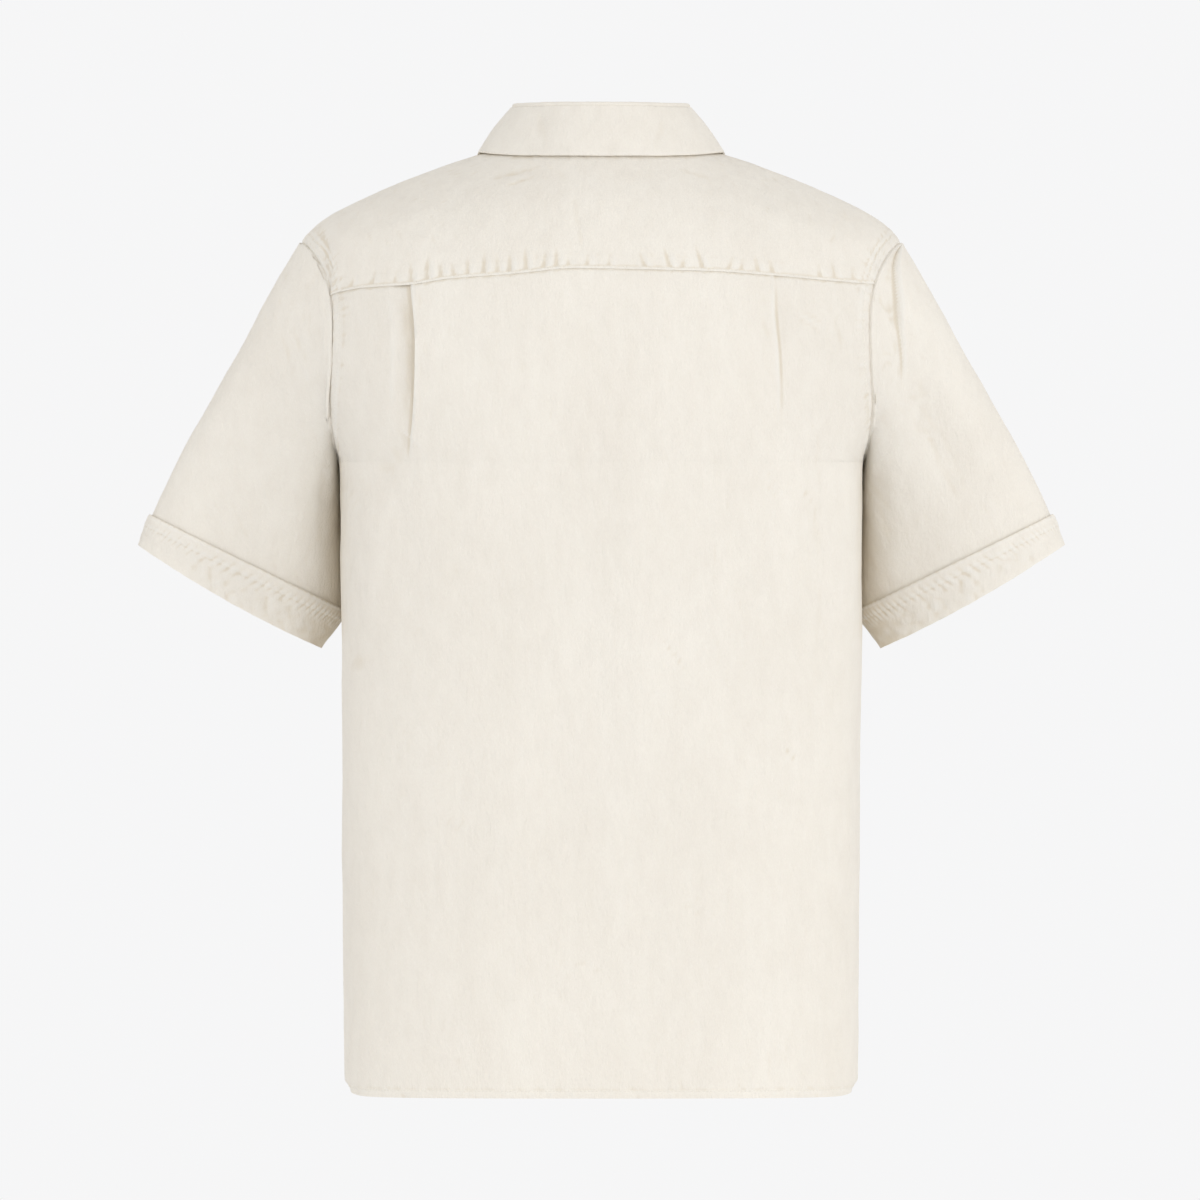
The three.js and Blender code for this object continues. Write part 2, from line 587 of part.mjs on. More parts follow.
// Cuff: the turned-up hem, lying outside the sleeve, with a raised welt along its top.
function makeCuff(side) {
  const weltEnd = cuff.weltShare - cuff.weltEdge;
  const rows = [0, cuff.weltEdge, weltEnd, cuff.weltShare, (1 + cuff.weltShare) / 2, 1];
  const shares = rows.map((row) => mix(cuff.top, cuff.bottom, row));
  const raised = (share) => (share < mix(cuff.top, cuff.bottom, cuff.weltShare) - shareStep ? cuff.weltLift : 0);
  return sleeveWall(side, shares, (share) => seamGap + cuff.thick + raised(share), cuff.thick);
}

// Button: a round disc with a rim, lying on a point and facing along a normal.
function makeButton(point, normal) {
  const { radius, thick, rim, dish, edge, segments } = button;
  const profile = [
    [0, 0],
    [radius - edge, 0],
    [radius, edge],
    [radius, thick - edge],
    [radius - edge, thick],
    [radius - rim, thick],
    [radius - rim - edge, thick - dish],
    [0, thick - dish],
  ].map(([r, h]) => new THREE.Vector2(r, h));
  const disc = new THREE.LatheGeometry(profile, segments);
  disc.deleteAttribute('uv');
  disc.deleteAttribute('normal');
  const up = new THREE.Vector3(0, 1, 0);
  const facing = new THREE.Quaternion().setFromUnitVectors(up, new THREE.Vector3(...normal));
  const seat = add(point, normal, seamGap);
  disc.applyQuaternion(facing);
  disc.translate(...seat);
  return disc;
}

const cloth = { color: 0xefe9dc, roughness: 0.92, metalness: 0 };
const shell = { color: 0xe9e2d2, roughness: 0.35, metalness: 0 };

const shirt = new THREE.Group();

function place(name, geometry, finish) {
  const mesh = new THREE.Mesh(geometry, new THREE.MeshStandardMaterial({ ...finish, name }));
  mesh.name = name;
  shirt.add(mesh);
}

place('back', makeBack(), cloth);
place('yoke', makeYoke(), cloth);
place('front_left', makeFront(-1, false), cloth);
place('front_right', makeFront(1, true), cloth);
place('placket', makePlacket(), cloth);
place('collar_stand', makeStand(), cloth);
place('collar_fall', makeFall(), cloth);
for (const [side, word] of [[-1, 'left'], [1, 'right']]) {
  place(`sleeve_${word}`, makeSleeve(side), cloth);
  place(`cuff_${word}`, makeCuff(side), cloth);
}

// The top button is on the stand, and the others run down the placket.
place('button_1', makeButton(standPoint(180, 0.5, 0), [0, 0.98, 0.2]), shell);
for (let k = 0; k < frontButtons; k += 1) {
  const height = buttonFirst - k * buttonPitch;
  let level = height;
  for (let i = 0; i < solveSteps; i += 1) level = height + ring('frontDrop', level);
  const seat = bodyPoint(level, 180, seamGap + placketThick);
  place(`button_${k + 2}`, makeButton(seat, bodyNormal(level, 180)), shell);
}

export default shirt;
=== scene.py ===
# %% [markdown]
# A short-sleeved shirt of unbleached oxford cloth, seen from behind. It is filled out as if it were
# worn, and nobody is in it. The solids of the frame hold its construction: here each panel of cloth
# is made again as a thin shell on the same form, with its pleats, puckers and seams, and gets its
# weave and its thread.

# %% Load the frame
import itertools
import math

import bpy
import numpy as np
from mathutils import Matrix, Vector


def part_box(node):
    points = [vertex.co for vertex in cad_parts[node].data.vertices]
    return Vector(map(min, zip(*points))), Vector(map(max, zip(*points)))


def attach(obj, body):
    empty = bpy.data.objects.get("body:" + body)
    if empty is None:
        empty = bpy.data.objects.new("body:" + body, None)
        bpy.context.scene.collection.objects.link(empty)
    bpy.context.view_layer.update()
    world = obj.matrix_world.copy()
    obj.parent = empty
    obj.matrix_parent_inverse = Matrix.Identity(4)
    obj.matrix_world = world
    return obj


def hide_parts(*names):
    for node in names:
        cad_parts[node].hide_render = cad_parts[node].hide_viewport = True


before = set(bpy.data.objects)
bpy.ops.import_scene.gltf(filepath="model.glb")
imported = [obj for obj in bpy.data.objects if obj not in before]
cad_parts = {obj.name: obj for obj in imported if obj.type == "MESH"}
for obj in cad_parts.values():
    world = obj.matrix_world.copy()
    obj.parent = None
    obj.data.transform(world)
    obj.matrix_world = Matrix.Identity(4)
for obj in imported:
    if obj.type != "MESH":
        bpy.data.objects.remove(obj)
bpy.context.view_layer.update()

MM = 0.001
print("frame nodes:", len(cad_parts))

# %% [markdown]
# Cloth is cut and sewn in millimetres, so every size below is in millimetres, and points are turned
# into metres once, when a mesh is made. A few short helpers do the sums: a smooth step, and a smooth
# curve through the rows of a table that never overshoots them.

# %% Helpers for numbers
def smooth(t):
    c = np.clip(t, 0, 1)
    return c * c * (3 - 2 * c)


def mix(a, b, t):
    return a + (b - a) * t


def unit(v):
    return v / np.maximum(np.linalg.norm(v, axis=-1, keepdims=True), 1e-9)


def curve(keys, values):
    """A function that runs smoothly through the rows of a table."""
    keys, values = np.asarray(keys, float), np.asarray(values, float)
    slopes = np.diff(values) / np.diff(keys)
    before, after = slopes[:-1], slopes[1:]
    turns = before * after <= 0
    inner = np.where(turns, 0, 2 * before * after / np.where(turns, 1, before + after))
    tangents = np.concatenate([slopes[:1], inner, slopes[-1:]])

    def at(key):
        i = np.clip(np.searchsorted(keys, key, side="right") - 1, 0, len(keys) - 2)
        span = keys[i + 1] - keys[i]
        t = np.clip((key - keys[i]) / span, 0, 1)
        start = values[i] * (1 + 2 * t) * (1 - t) ** 2 + tangents[i] * span * t * (1 - t) ** 2
        end = values[i + 1] * t * t * (3 - 2 * t) - tangents[i + 1] * span * t * t * (1 - t)
        return start + end

    return at


def columns(names, rows):
    """Smooth curves of a table's other columns against its first one."""
    table = np.array(rows, float)
    return {n: curve(table[:, 0], table[:, k + 1]) for k, n in enumerate(names.split()[1:])}


print("smooth step at a half:", smooth(0.5))

# %% [markdown]
# Cloth is never quite even, so its relief needs a random field. Blender's own noise would do, but it
# has to be the same for a whole grid of points and for their neighbours, so one small lattice of random
# numbers is drawn once, with a fixed seed, and read softly between its points.

# %% A soft random field
LATTICE = np.random.default_rng(11).random((32, 32, 32)) * 2 - 1


def noise(points, size):
    """Soft random field from -1 to 1, whose lumps are about size across, in each direction."""
    q = points / np.asarray(size, float)
    base = np.floor(q).astype(int)
    t = smooth(q - base)
    total = np.zeros(points.shape[:-1])
    for corner in itertools.product((0, 1), repeat=3):
        weight = np.prod(np.where(corner, t, 1 - t), axis=-1)
        spot = (base + corner) % 32
        total += weight * LATTICE[spot[..., 0], spot[..., 1], spot[..., 2]]
    return total


print("field at one point:", round(float(noise(np.array([[10.0, 5.0, 2.0]]), (20, 20, 20))[0]), 3))

# %% [markdown]
# The body of the shirt is one smooth form: rounded rings, stacked from the hem to the base of the
# neck. A ring is named by its level, its height at the back. Its front drops lower, which makes room
# for the throat. A spot on the body is a level and a turn: 0 is the middle of the back, 90 the
# wearer's right side and 180 the middle of the front. The same rings make the frame's solids.

# %% The form of the body
HEM_LEVEL, NECK_LEVEL, ARMPIT_LEVEL = -717, 12, -232
RINGS = columns(
    "level half_width back front exponent drop",
    [
        (-717, 196.5, 108, 112, 2.7, 0),
        (-560, 198, 110, 114, 2.7, 0),
        (-400, 199, 113, 117, 2.7, 0),
        (-232, 200, 119, 122, 2.7, 4),
        (-212, 206, 119.5, 122, 2.65, 7),
        (-178, 218.5, 120, 121, 2.6, 14),
        (-150, 223.5, 120, 119, 2.6, 24),
        (-125, 226.5, 119, 116, 2.5, 36),
        (-100, 228, 116, 111, 2.35, 48),
        (-80, 230.5, 112.5, 106, 2.15, 57),
        (-64, 229, 108, 100, 2.0, 64),
        (-54, 222, 104.5, 96, 1.9, 68),
        (-43, 208, 100, 92, 1.8, 71),
        (-31, 185, 94, 87, 1.7, 74),
        (-20, 160, 86, 82, 1.65, 76),
        (-10, 136, 77, 78, 1.65, 78),
        (0, 108, 68, 76, 1.75, 79.5),
        (12, 66, 58, 74, 2.0, 81),
    ],
)
DROP_POWER = 1.4
HEM_SIDE_TURN = 92
CORNER_RISE, CORNER_NARROW, CORNER_TURN, CORNER_HEIGHT = 9, 7, 12, 16


def oval(turn, half_width, back, front, exponent, level, drop):
    across, ahead = np.sin(np.radians(turn)), -np.cos(np.radians(turn))
    depth = np.where(ahead < 0, back, front)
    reach = (np.abs(across / half_width) ** exponent + np.abs(ahead / depth) ** exponent) ** (-1 / exponent)
    y = reach * ahead
    forward = np.maximum(0, y) / front
    return np.stack([reach * across, y, level - drop * forward ** DROP_POWER], axis=-1)


def body_surface(level, turn):
    level, turn = np.broadcast_arrays(np.asarray(level, float), np.asarray(turn, float))
    corner = np.exp(-(((np.abs(turn) - HEM_SIDE_TURN) / CORNER_TURN) ** 2))
    near = 1 - smooth((level - HEM_LEVEL) / CORNER_HEIGHT)
    half_width = RINGS["half_width"](level) - CORNER_NARROW * near * near * corner
    lifted = level + CORNER_RISE * corner * near * near
    shape = (RINGS[k](level) for k in ("back", "front", "exponent"))
    return oval(turn, half_width, *shape, lifted, RINGS["drop"](level))


print("width at the hem:", 2 * float(RINGS["half_width"](HEM_LEVEL)))

# %% [markdown]
# Relief is laid on the smooth form along its normal. The form has no faces yet, so the normal is worked
# out from two short steps, one round the ring and one up the body.

# %% Which way the body faces
def body_normal(level, turn):
    level, turn = np.broadcast_arrays(np.asarray(level, float), np.asarray(turn, float))
    along = body_surface(level, turn + 0.2) - body_surface(level, turn - 0.2)
    low, high = np.maximum(HEM_LEVEL, level - 1), np.minimum(NECK_LEVEL, level + 1)
    return unit(np.cross(along, body_surface(high, turn) - body_surface(low, turn)))


print("the middle of the back faces", np.round(body_normal(-300, 0), 3))

# %% [markdown]
# An armhole is an oval in levels and turns. The yoke seam crosses the back just above the shoulder
# blades: it bows up to the middle, and it ends a little lower at the left than at the right.

# %% Armholes and the yoke seam
ARM_MIDDLE, ARM_HALF = -148, 84
ARM_TOP_TURN, ARM_LOW_TURN, ARM_BACK_TURN, ARM_FRONT_TURN = 90, 97, 21, 16
TURN_WIDTH = 215
YOKE_MIDDLE, YOKE_END = -95, 215
YOKE_SEAM = curve(*zip(*[
    (-215, -109), (-200, -103), (-180, -99.5), (-145, -97.4), (-116, -93), (-70, -89.7),
    (-20, -85.2), (30, -86), (91, -87.5), (122, -89.7), (168, -93.6), (215, -97),
]))
FRONT_SEAM_NECK, FRONT_SEAM_ARM = 115, -28
NECK_REACH, ARM_REACH = 62, 205
ARM_SEAM_TURN, NECK_SEAM_TURN = 0.25, 0.15


def armhole(angle, shrink=0.0):
    """Level and turn of the armhole: angle is 0 at its top, 90 at the back, 180 at the bottom."""
    rise, swing = np.cos(np.radians(angle)), np.sin(np.radians(angle))
    width = np.where(swing > 0, ARM_BACK_TURN, ARM_FRONT_TURN) - np.degrees(shrink / TURN_WIDTH)
    middle = mix(ARM_TOP_TURN, ARM_LOW_TURN, (1 - rise) / 2)
    return ARM_MIDDLE + (ARM_HALF - shrink) * rise, middle - width * swing


def armhole_distance(level, turn):
    """Roughly how far a spot of the body lies outside the armhole, in millimetres."""
    rise = (level - ARM_MIDDLE) / ARM_HALF
    middle = mix(ARM_TOP_TURN, ARM_LOW_TURN, (1 - np.clip(rise, -1, 1)) / 2)
    away = middle - np.abs(turn)
    width = np.where(away > 0, ARM_BACK_TURN, ARM_FRONT_TURN)
    return (np.hypot(rise, away / width) - 1) * 78


def armhole_angle(level, turn):
    rise = (level - ARM_MIDDLE) / ARM_HALF
    away = mix(ARM_TOP_TURN, ARM_LOW_TURN, (1 - np.clip(rise, -1, 1)) / 2) - np.abs(turn)
    width = np.where(away > 0, ARM_BACK_TURN, ARM_FRONT_TURN)
    return np.arctan2(away / width, rise)


print("top and bottom of the armhole:", [float(armhole(a)[0]) for a in (0, 180)])

# %% [markdown]
# Panels of cloth have to meet exactly, so the places where their seams cross are worked out and never
# typed in. Each is found by halving a stretch of the curve until it closes on the crossing.

# %% Where the seams cross
def yoke_seam_level(turn):
    return YOKE_SEAM(np.clip(body_surface(YOKE_MIDDLE, turn)[..., 0], -YOKE_END, YOKE_END))


def yoke_corner(side):
    """Angle of the armhole where the yoke seam meets it."""
    low, high = 10.0, 90.0
    for _ in range(40):
        middle = (low + high) / 2
        level, turn = armhole(middle)
        if level > yoke_seam_level(side * turn):
            low = middle
        else:
            high = middle
    return low


def turn_at_x(level, x):
    """Turn at which the back of a level's ring reaches x."""
    low, high = np.zeros(np.shape(level)), np.full(np.shape(level), 80.0)
    for _ in range(30):
        middle = (low + high) / 2
        short = body_surface(level, middle)[..., 0] < abs(x)
        low, high = np.where(short, middle, low), np.where(short, high, middle)
    return low * np.sign(x)


def side_turn(level):
    return mix(HEM_SIDE_TURN, ARM_LOW_TURN, (level - HEM_LEVEL) / (ARMPIT_LEVEL - HEM_LEVEL))


CORNERS = {side: yoke_corner(side) for side in (-1, 1)}
print("yoke corners at", {side: round(angle, 1) for side, angle in CORNERS.items()})

# %% [markdown]
# What makes cloth look like cloth is where it isn't smooth. A washed oxford shirt has broad soft
# folds, fine crumples all over, and short puckers along every seam, where the thread has drawn the
# cloth up. Each of them is a small height above the smooth form. The main ones are listed
# in short tables, and a seeded random field adds the crumples.

# %% Folds and crumples of the body
FOLDS = [  # face, from x and z, to x and z, width, height
    ("back", -146, -214, -188, -262, 13, -3.6),
    ("back", -170, -236, -176, -380, 14, 3.4),
    ("back", 166, -190, 172, -430, 14, -3.8),
    ("back", 188, -200, 190, -440, 9, 2.0),
    ("back", 30, -170, 26, -520, 24, 3.0),
    ("back", -60, -420, -95, -690, 30, 2.2),
    ("back", 105, -430, 120, -690, 30, 2.0),
    ("front", -120, -170, -160, -300, 18, 2.4),
    ("front", 125, -170, 158, -310, 18, 2.6),
    ("front", -90, -380, -110, -690, 28, 2.2),
    ("front", 95, -350, 105, -680, 28, 2.2),
]
CREASES = [  # short fine creases: face, from x and z, to x and z, width, height
    ("back", -196, -386, -172, -388, 1.6, 0.5),
    ("back", 150, -250, 163, -262, 2.2, -0.5),
    ("back", 138, -448, 150, -462, 2.2, -0.5),
    ("back", 118, -236, 142, -262, 2.6, 0.5),
    ("back", -84, -300, -70, -336, 2.4, 0.4),
    ("back", 40, -360, 66, -392, 2.6, -0.4),
    ("back", -120, -500, -96, -516, 2.4, 0.4),
    ("back", 60, -560, 92, -584, 2.6, 0.4),
    ("back", -30, -610, 4, -622, 2.6, -0.4),
    ("back", 148, -118, 172, -132, 2.2, 0.6),
    ("back", 176, -112, 186, -150, 4.5, -0.7),
    ("front", -150, -260, -110, -290, 3.0, 0.6),
    ("front", 90, -250, 140, -284, 3.0, 0.6),
    ("front", 60, -480, 100, -505, 3.0, -0.5),
    ("front", -110, -560, -70, -580, 3.0, 0.5),
]
print("folds and creases placed by hand:", len(FOLDS) + len(CREASES))

# %% [markdown]
# A fold in the tables is a straight ridge or valley that fades at both ends. Sculpting would give a
# richer one, but a formula keeps the panels on both sides of a seam in step. The washed crumples are
# three sizes of the random field on top of each other, bent a little so that they don't line up.

# %% Shapes of folds and crumples
def fold_height(fold, x, z):
    _, x0, z0, x1, z1, width, height = fold
    length = math.hypot(x1 - x0, z1 - z0)
    along = ((x - x0) * (x1 - x0) + (z - z0) * (z1 - z0)) / length**2
    away = ((x - x0) * (z1 - z0) - (z - z0) * (x1 - x0)) / length
    fade = np.sin(np.pi * np.clip(along, 0, 1)) ** 0.7
    return height * fade * np.exp(-((away / width) ** 2))


def crumples(points):
    """Washed crumples: soft lumps, fine upright wrinkles, and a few ridges where cloth creased."""
    bend = noise(points, (60, 60, 75))[..., None] * np.array([8, 8, 12])
    q = points + bend
    lumps = 0.5 * noise(q, (34, 34, 52)) + 0.3 * noise(q + 200, (15, 15, 26))
    slanted = points + points[..., 2:] * np.array([0.45, 0, 0])
    fine = 0.15 * noise(slanted + 300, (6, 8, 17)) + 0.11 * noise(points + 340, (4.5, 6, 11))
    ridge = 1 - np.abs(noise(q + 400, (16, 16, 30)))
    sharp = 0.16 * np.clip(ridge - 0.74, 0, 1) / 0.26
    return lumps + fine + sharp * smooth(noise(points + 600, (70, 70, 90)) + 0.5)


def body_folds(points):
    x, y, z = points[..., 0], points[..., 1], points[..., 2]
    height = np.zeros(x.shape)
    for fold in FOLDS + CREASES:
        on_face = y < 0 if fold[0] == "back" else y >= 0
        height += np.where(on_face, fold_height(fold, x, z), 0)
    return height


print("first fold in its middle:", fold_height(FOLDS[0], np.array(-167.0), np.array(-238.0)))

# %% [markdown]
# The two side pleats give the back its ease. Each is a fold of cloth caught in the yoke seam: its
# crisp lip lies on the side of the middle, and the cloth comes out from under it and slopes up
# again. The left one gapes a little, like a lens, and closes 140 mm lower. The right one lies flat.

# %% Pleats and seams of the back
LIPS = [  # the x of each pleat's lip at some heights
    curve([-226, -200, -170, -144, -97], [-145.7, -143.4, -141.8, -141.4, -144.6]),
    curve([-226, -180, -152, -116, -88], [134.5, 135, 134, 131, 130.5]),
]
PLEATS = [  # lip, height of its widest and of its lowest place, depth, width, width of the lip
    (LIPS[0], -156, -240, 5.2, 19, 2.0),
    (LIPS[1], -140, -228, 0.6, 14, 2.2),
]


def pleat_height(pleat, x, z):
    lip_x, widest, bottom, depth, width, lip = pleat
    edge = lip_x(z)
    outward = (x - edge) * np.sign(edge)
    opening = smooth((z - bottom) / (widest - bottom)) * (0.3 + 0.7 * smooth((-92 - z) / 40))
    drop = smooth(outward / lip) * (1 - smooth((outward - 2 * lip) / (width - 2 * lip)))
    roll = 0.45 * np.exp(-((outward / 3.5) ** 2)) * (1 - smooth(outward / lip))
    return (roll - depth * drop) * opening


print("pleats:", len(PLEATS))

# %% [markdown]
# A seam is a band of doubled cloth that its stitches pull in. Such bands go round the armholes and
# along the hem. They are modelled as relief too: a low step, a fine groove where the thread lies, and
# puckers or roping beside it.

# %% Bands along the armholes and the hem
def arm_band(level, turn):
    """The flat seam round the armhole: a doubled band, drawn up by its stitching."""
    away = armhole_distance(level, turn)
    round_it = armhole_angle(level, turn) * 80
    inside = smooth(away / 1.5) * (1 - smooth((away - 8) / 2))
    stitch = np.exp(-(((away - 7) / 0.9) ** 2))
    spots = np.stack([round_it, np.sign(turn) * 50 + 0 * away, away * 0.5], axis=-1)
    pucker = noise(spots, (4.2, 9, 7)) + 0.6 * noise(spots + 80, (2.4, 9, 9))
    reach = smooth((away + 2) / 4) * (1 - smooth((away - 9) / 9))
    return 0.45 * inside - 0.3 * stitch + 0.42 * pucker * reach


HEM_STITCH = 5.6


def hem_band(level, points):
    """The hem: turned up twice and stitched, which ropes it a little."""
    above = level - HEM_LEVEL
    band = 1 - smooth((above - HEM_STITCH) / 1.6)
    stitch = np.exp(-(((above - HEM_STITCH) / 0.8) ** 2))
    slanted = points + np.stack([above, 0 * above, 0 * above], axis=-1) * 0.8
    roping = noise(slanted, (5, 5, 14))
    return 0.4 * band - 0.28 * stitch + 0.22 * roping * (1 - smooth((above - 7) / 6))


print("hem stitched above the edge by:", HEM_STITCH)

# %% [markdown]
# The yoke seam has the puckers that catch the eye: each stands on the seam like a small blade. They are
# listed one by one, because their uneven spacing is what makes them look sewn.

# %% Puckers on the yoke seam
YOKE_PUCKERS = [  # x, height, amount, slant
    (-145, 19, 0.9, 0.0), (-133, 25, 0.8, 0.05), (-122, 14, 0.6, 0.0), (-112, 13, 0.55, -0.1),
    (-102, 18, 0.6, 0.05), (-90, 21, 0.8, 0.1), (-79, 13, 0.5, 0.0), (-70, 19, 1.0, 0.05),
    (-57, 22, 0.9, -0.05), (-44, 17, 0.8, 0.1), (-34, 18, 0.7, 0.0), (-25, 12, 0.5, 0.0),
    (-11, 14, 0.5, 0.1), (6, 12, 0.45, 0.0), (34, 16, 0.7, -0.35), (53, 19, 1.0, -0.3),
    (62, 12, 0.6, 0.1), (78, 20, 1.0, -0.3), (97, 13, 0.5, 0.2), (107, 12, 0.5, 0.0),
    (120, 15, 0.6, -0.2), (131, 14, 0.6, -0.2), (168, 14, 0.6, -0.25), (179, 16, 0.7, -0.2),
    (193, 14, 0.6, -0.1), (-158, 13, 0.5, 0.2), (-176, 14, 0.6, 0.3), (-192, 12, 0.6, 0.3),
]


def yoke_puckers(x, above):
    """Short puckers that stand on the yoke seam, and fainter ones below it."""
    total = np.zeros(x.shape)
    for place, tall, amount, slant in YOKE_PUCKERS:
        away = x - place - slant * above
        up = smooth((above - 1.2) / 3) * (1 - smooth(above / (1.2 * tall)))
        total -= 1.15 * amount * up * np.exp(-((away / 2.3) ** 2))
        total += 0.75 * amount * up * np.exp(-(((away - 4.4) / 3.2) ** 2))
        down = smooth(-above / 1.5) * (1 - smooth(-above / (0.5 * tall)))
        total -= 0.22 * amount * down * np.exp(-((away / 2.2) ** 2))
    return total


def back_height(level, turn, points):
    x, z = points[..., 0], points[..., 2]
    above = level - yoke_seam_level(turn)
    height = body_folds(points) + crumples(points) + hem_band(level, points)
    for pleat in PLEATS:
        height += pleat_height(pleat, x, z)
    height += arm_band(level, turn) + yoke_puckers(x, above)
    return height - 0.3 * np.exp(-(((above + 0.5) / 1.2) ** 2))


print("puckers:", len(YOKE_PUCKERS))

# %% [markdown]
# Every panel becomes a grid of points: rows up the cloth and columns across it. The grid's outer
# face goes into a mesh as plain quads, and a Solidify modifier gives it the thickness of the cloth
# with closed edges. The UV map is measured along the cloth, so the weave follows it. A number at each
# vertex says how far the cloth stands out there. It is lower where a sleeve or the collar covers the
# cloth. The material paints light and shade by it: a warmer, darker shade in grooves and under the
# sleeves and collar, and a painted highlight on ridges.

# %% Turn a grid of points into cloth
CLOTH_THICK = 0.8
LINED_THICK = 1.4
shirt = {}


def clear_selection():
    bpy.ops.object.select_all(action="DESELECT")


def make_active(obj):
    clear_selection()
    obj.select_set(True)
    bpy.context.view_layer.objects.active = obj


def place_new(name, data):
    obj = bpy.data.objects.new(name, data)
    bpy.context.collection.objects.link(obj)
    return obj


def lengths(points, axis):
    """Length along the cloth from the grid's first row or column."""
    steps = np.linalg.norm(np.diff(points, axis=axis), axis=-1)
    middle = np.mean(steps, axis=1 - axis)
    return np.concatenate([[0], np.cumsum(middle)])


print("cloth is", CLOTH_THICK, "mm thick, and the collar fall", LINED_THICK)

# %% [markdown]
# Light reaches the bottom of a groove only off other cloth, which makes it warmer. A material can't know
# where the grooves are, so the script measures it: it compares the relief at each point with the relief
# a little way off on four sides. That warmer shade is then painted into the colour, and ridges get a
# painted highlight.

# %% Measure the grooves and ridges
PAINTED_LIGHT_REACH, PAINTED_LIGHT_DEPTH = 2.2, 0.22


def wear(height, first, second, first_step, second_step):
    """How far each spot stands out of the cloth: 0 in a groove, 0.5 on flat cloth, 1 on a ridge. It sets
    painted shade and highlight.
    """
    middle = height(first, second)
    around = [height(first + first_step * k, second) for k in (-1, 1)]
    around += [height(first, second + second_step * k) for k in (-1, 1)]
    return np.clip(0.5 + 0.5 * (middle - sum(around) / 4) / PAINTED_LIGHT_DEPTH, 0, 1)


print("relief compared at", PAINTED_LIGHT_REACH, "mm")

# %% [markdown]
# The grid could be made by subdividing a plane and moving each vertex, with the same result and much
# more work. A mesh from points is exact here, and the tool that makes it cloth is the Solidify modifier.

# %% Sew a grid into a shell
def add_cloth(name, points, thick, painted_light_value, closed=False):
    """A shell of cloth under a grid of points that faces outwards."""
    rows, cols = points.shape[:2]
    ids = np.arange(rows * cols).reshape(rows, cols)
    if closed:
        ids = np.concatenate([ids, ids[:, :1]], axis=1)
    quads = np.stack([ids[:-1, :-1], ids[:-1, 1:], ids[1:, 1:], ids[1:, :-1]], axis=-1).reshape(-1, 4)
    mesh = bpy.data.meshes.new(name)
    mesh.from_pydata((points.reshape(-1, 3) * MM).tolist(), [], quads.tolist())
    across, up = lengths(points, 1), lengths(points, 0)
    if closed:
        across = np.append(across, across[-1] * cols / (cols - 1))
    u, v = np.meshgrid(across, up)
    corners = [(slice(None, -1), slice(None, -1)), (slice(None, -1), slice(1, None)),
               (slice(1, None), slice(1, None)), (slice(1, None), slice(None, -1))]
    uv = np.stack([np.stack([u[c], v[c]], axis=-1) for c in corners], axis=2).reshape(-1, 2)
    layer = mesh.uv_layers.new(name="weave")
    layer.data.foreach_set("uv", (uv * MM).ravel())
    obj = place_new(name, mesh)
    make_active(obj)
    shell = obj.modifiers.new("thickness", "SOLIDIFY")
    shell.thickness = thick * MM
    shell.offset = -1
    bpy.ops.object.modifier_apply(modifier=shell.name)
    bpy.ops.object.shade_smooth_by_angle(angle=math.radians(50))
    # The per-vertex number that the material turns into painted shade and painted highlight.
    layer = obj.data.attributes.new("wear", "FLOAT", "POINT")
    layer.data.foreach_set("value", np.tile(painted_light_value.ravel(), 2))
    shirt[name] = obj
    print(f"{name}: {rows} rows, {cols} columns, {len(obj.data.polygons)} faces")
    return obj

# %% [markdown]
# A panel of the body is its grid of levels and turns, put on the form and lifted by its relief. Where a
# sleeve hangs beside the body the cloth is in shade, and that shade is painted in: its number is lowered
# there.

# %% Cloth on the body
def body_grid(level, turn, height, out=0.0):
    smooth_points = body_surface(level, turn)
    lift = height(level, turn, smooth_points) + out
    return smooth_points + body_normal(level, turn) * np.expand_dims(lift, -1)


# Strengths of the painted shade on the body beside a sleeve, and on a sleeve beside the body.
PAINTED_SHADE_BESIDE_ARM, PAINTED_SHADE_BESIDE_BODY = 0.6, 0.65


def arm_shade_mask(level, turn):
    """1 on the sides of the body where a sleeve hangs beside it and light comes only through cloth; shade
    is painted there.
    """
    window = smooth((level + 380) / 25) * (1 - smooth((level + 236) / 16))
    return window * np.exp(-(((np.abs(turn) - 92) / 11) ** 2))


def add_body_cloth(name, level, turn, height, thick, out=0.0, painted_shade=0.0):
    """A panel of the body. Its columns run from the left to the right as seen from outside."""
    order = slice(None) if np.mean(turn[:, -1]) > np.mean(turn[:, 0]) else slice(None, None, -1)
    radius = np.linalg.norm(body_surface(level, turn)[..., :2], axis=-1)
    turn_step = np.degrees(PAINTED_LIGHT_REACH / np.maximum(60, radius))

    def over_body(at_level, at_turn):
        return height(at_level, at_turn, body_surface(at_level, at_turn))

    painted_light_value = wear(over_body, level, turn, PAINTED_LIGHT_REACH, turn_step)
    # Painted shade: under the collar's edge and beside the sleeves.
    painted_light_value = painted_light_value - painted_shade - PAINTED_SHADE_BESIDE_ARM * arm_shade_mask(level, turn)
    add_cloth(name, body_grid(level, turn, height, out)[:, order], thick, painted_light_value[:, order])


print("shade beside the sleeve:", float(arm_shade_mask(-300, 92)))

# %% [markdown]
# The back is one panel from the hem to the yoke seam. Its columns are close together near the
# pleats, and its rows near the hem and the seam, because that is where its form is finest. Its
# seam allowance is tucked under the yoke, as the fronts' allowances are tucked under the back.

# %% The back
SEAM_GAP = 0.3
TUCK, TUCK_DEPTH = 1.8, 1.0
TUCK_TURN = 0.5


def spread(*stretches):
    """Numbers along stretches given as (from, to, steps), without doubling the joins."""
    parts = [np.linspace(a, b, n + 1)[:-1] for a, b, n in stretches]
    return np.concatenate(parts + [[stretches[-1][1]]])


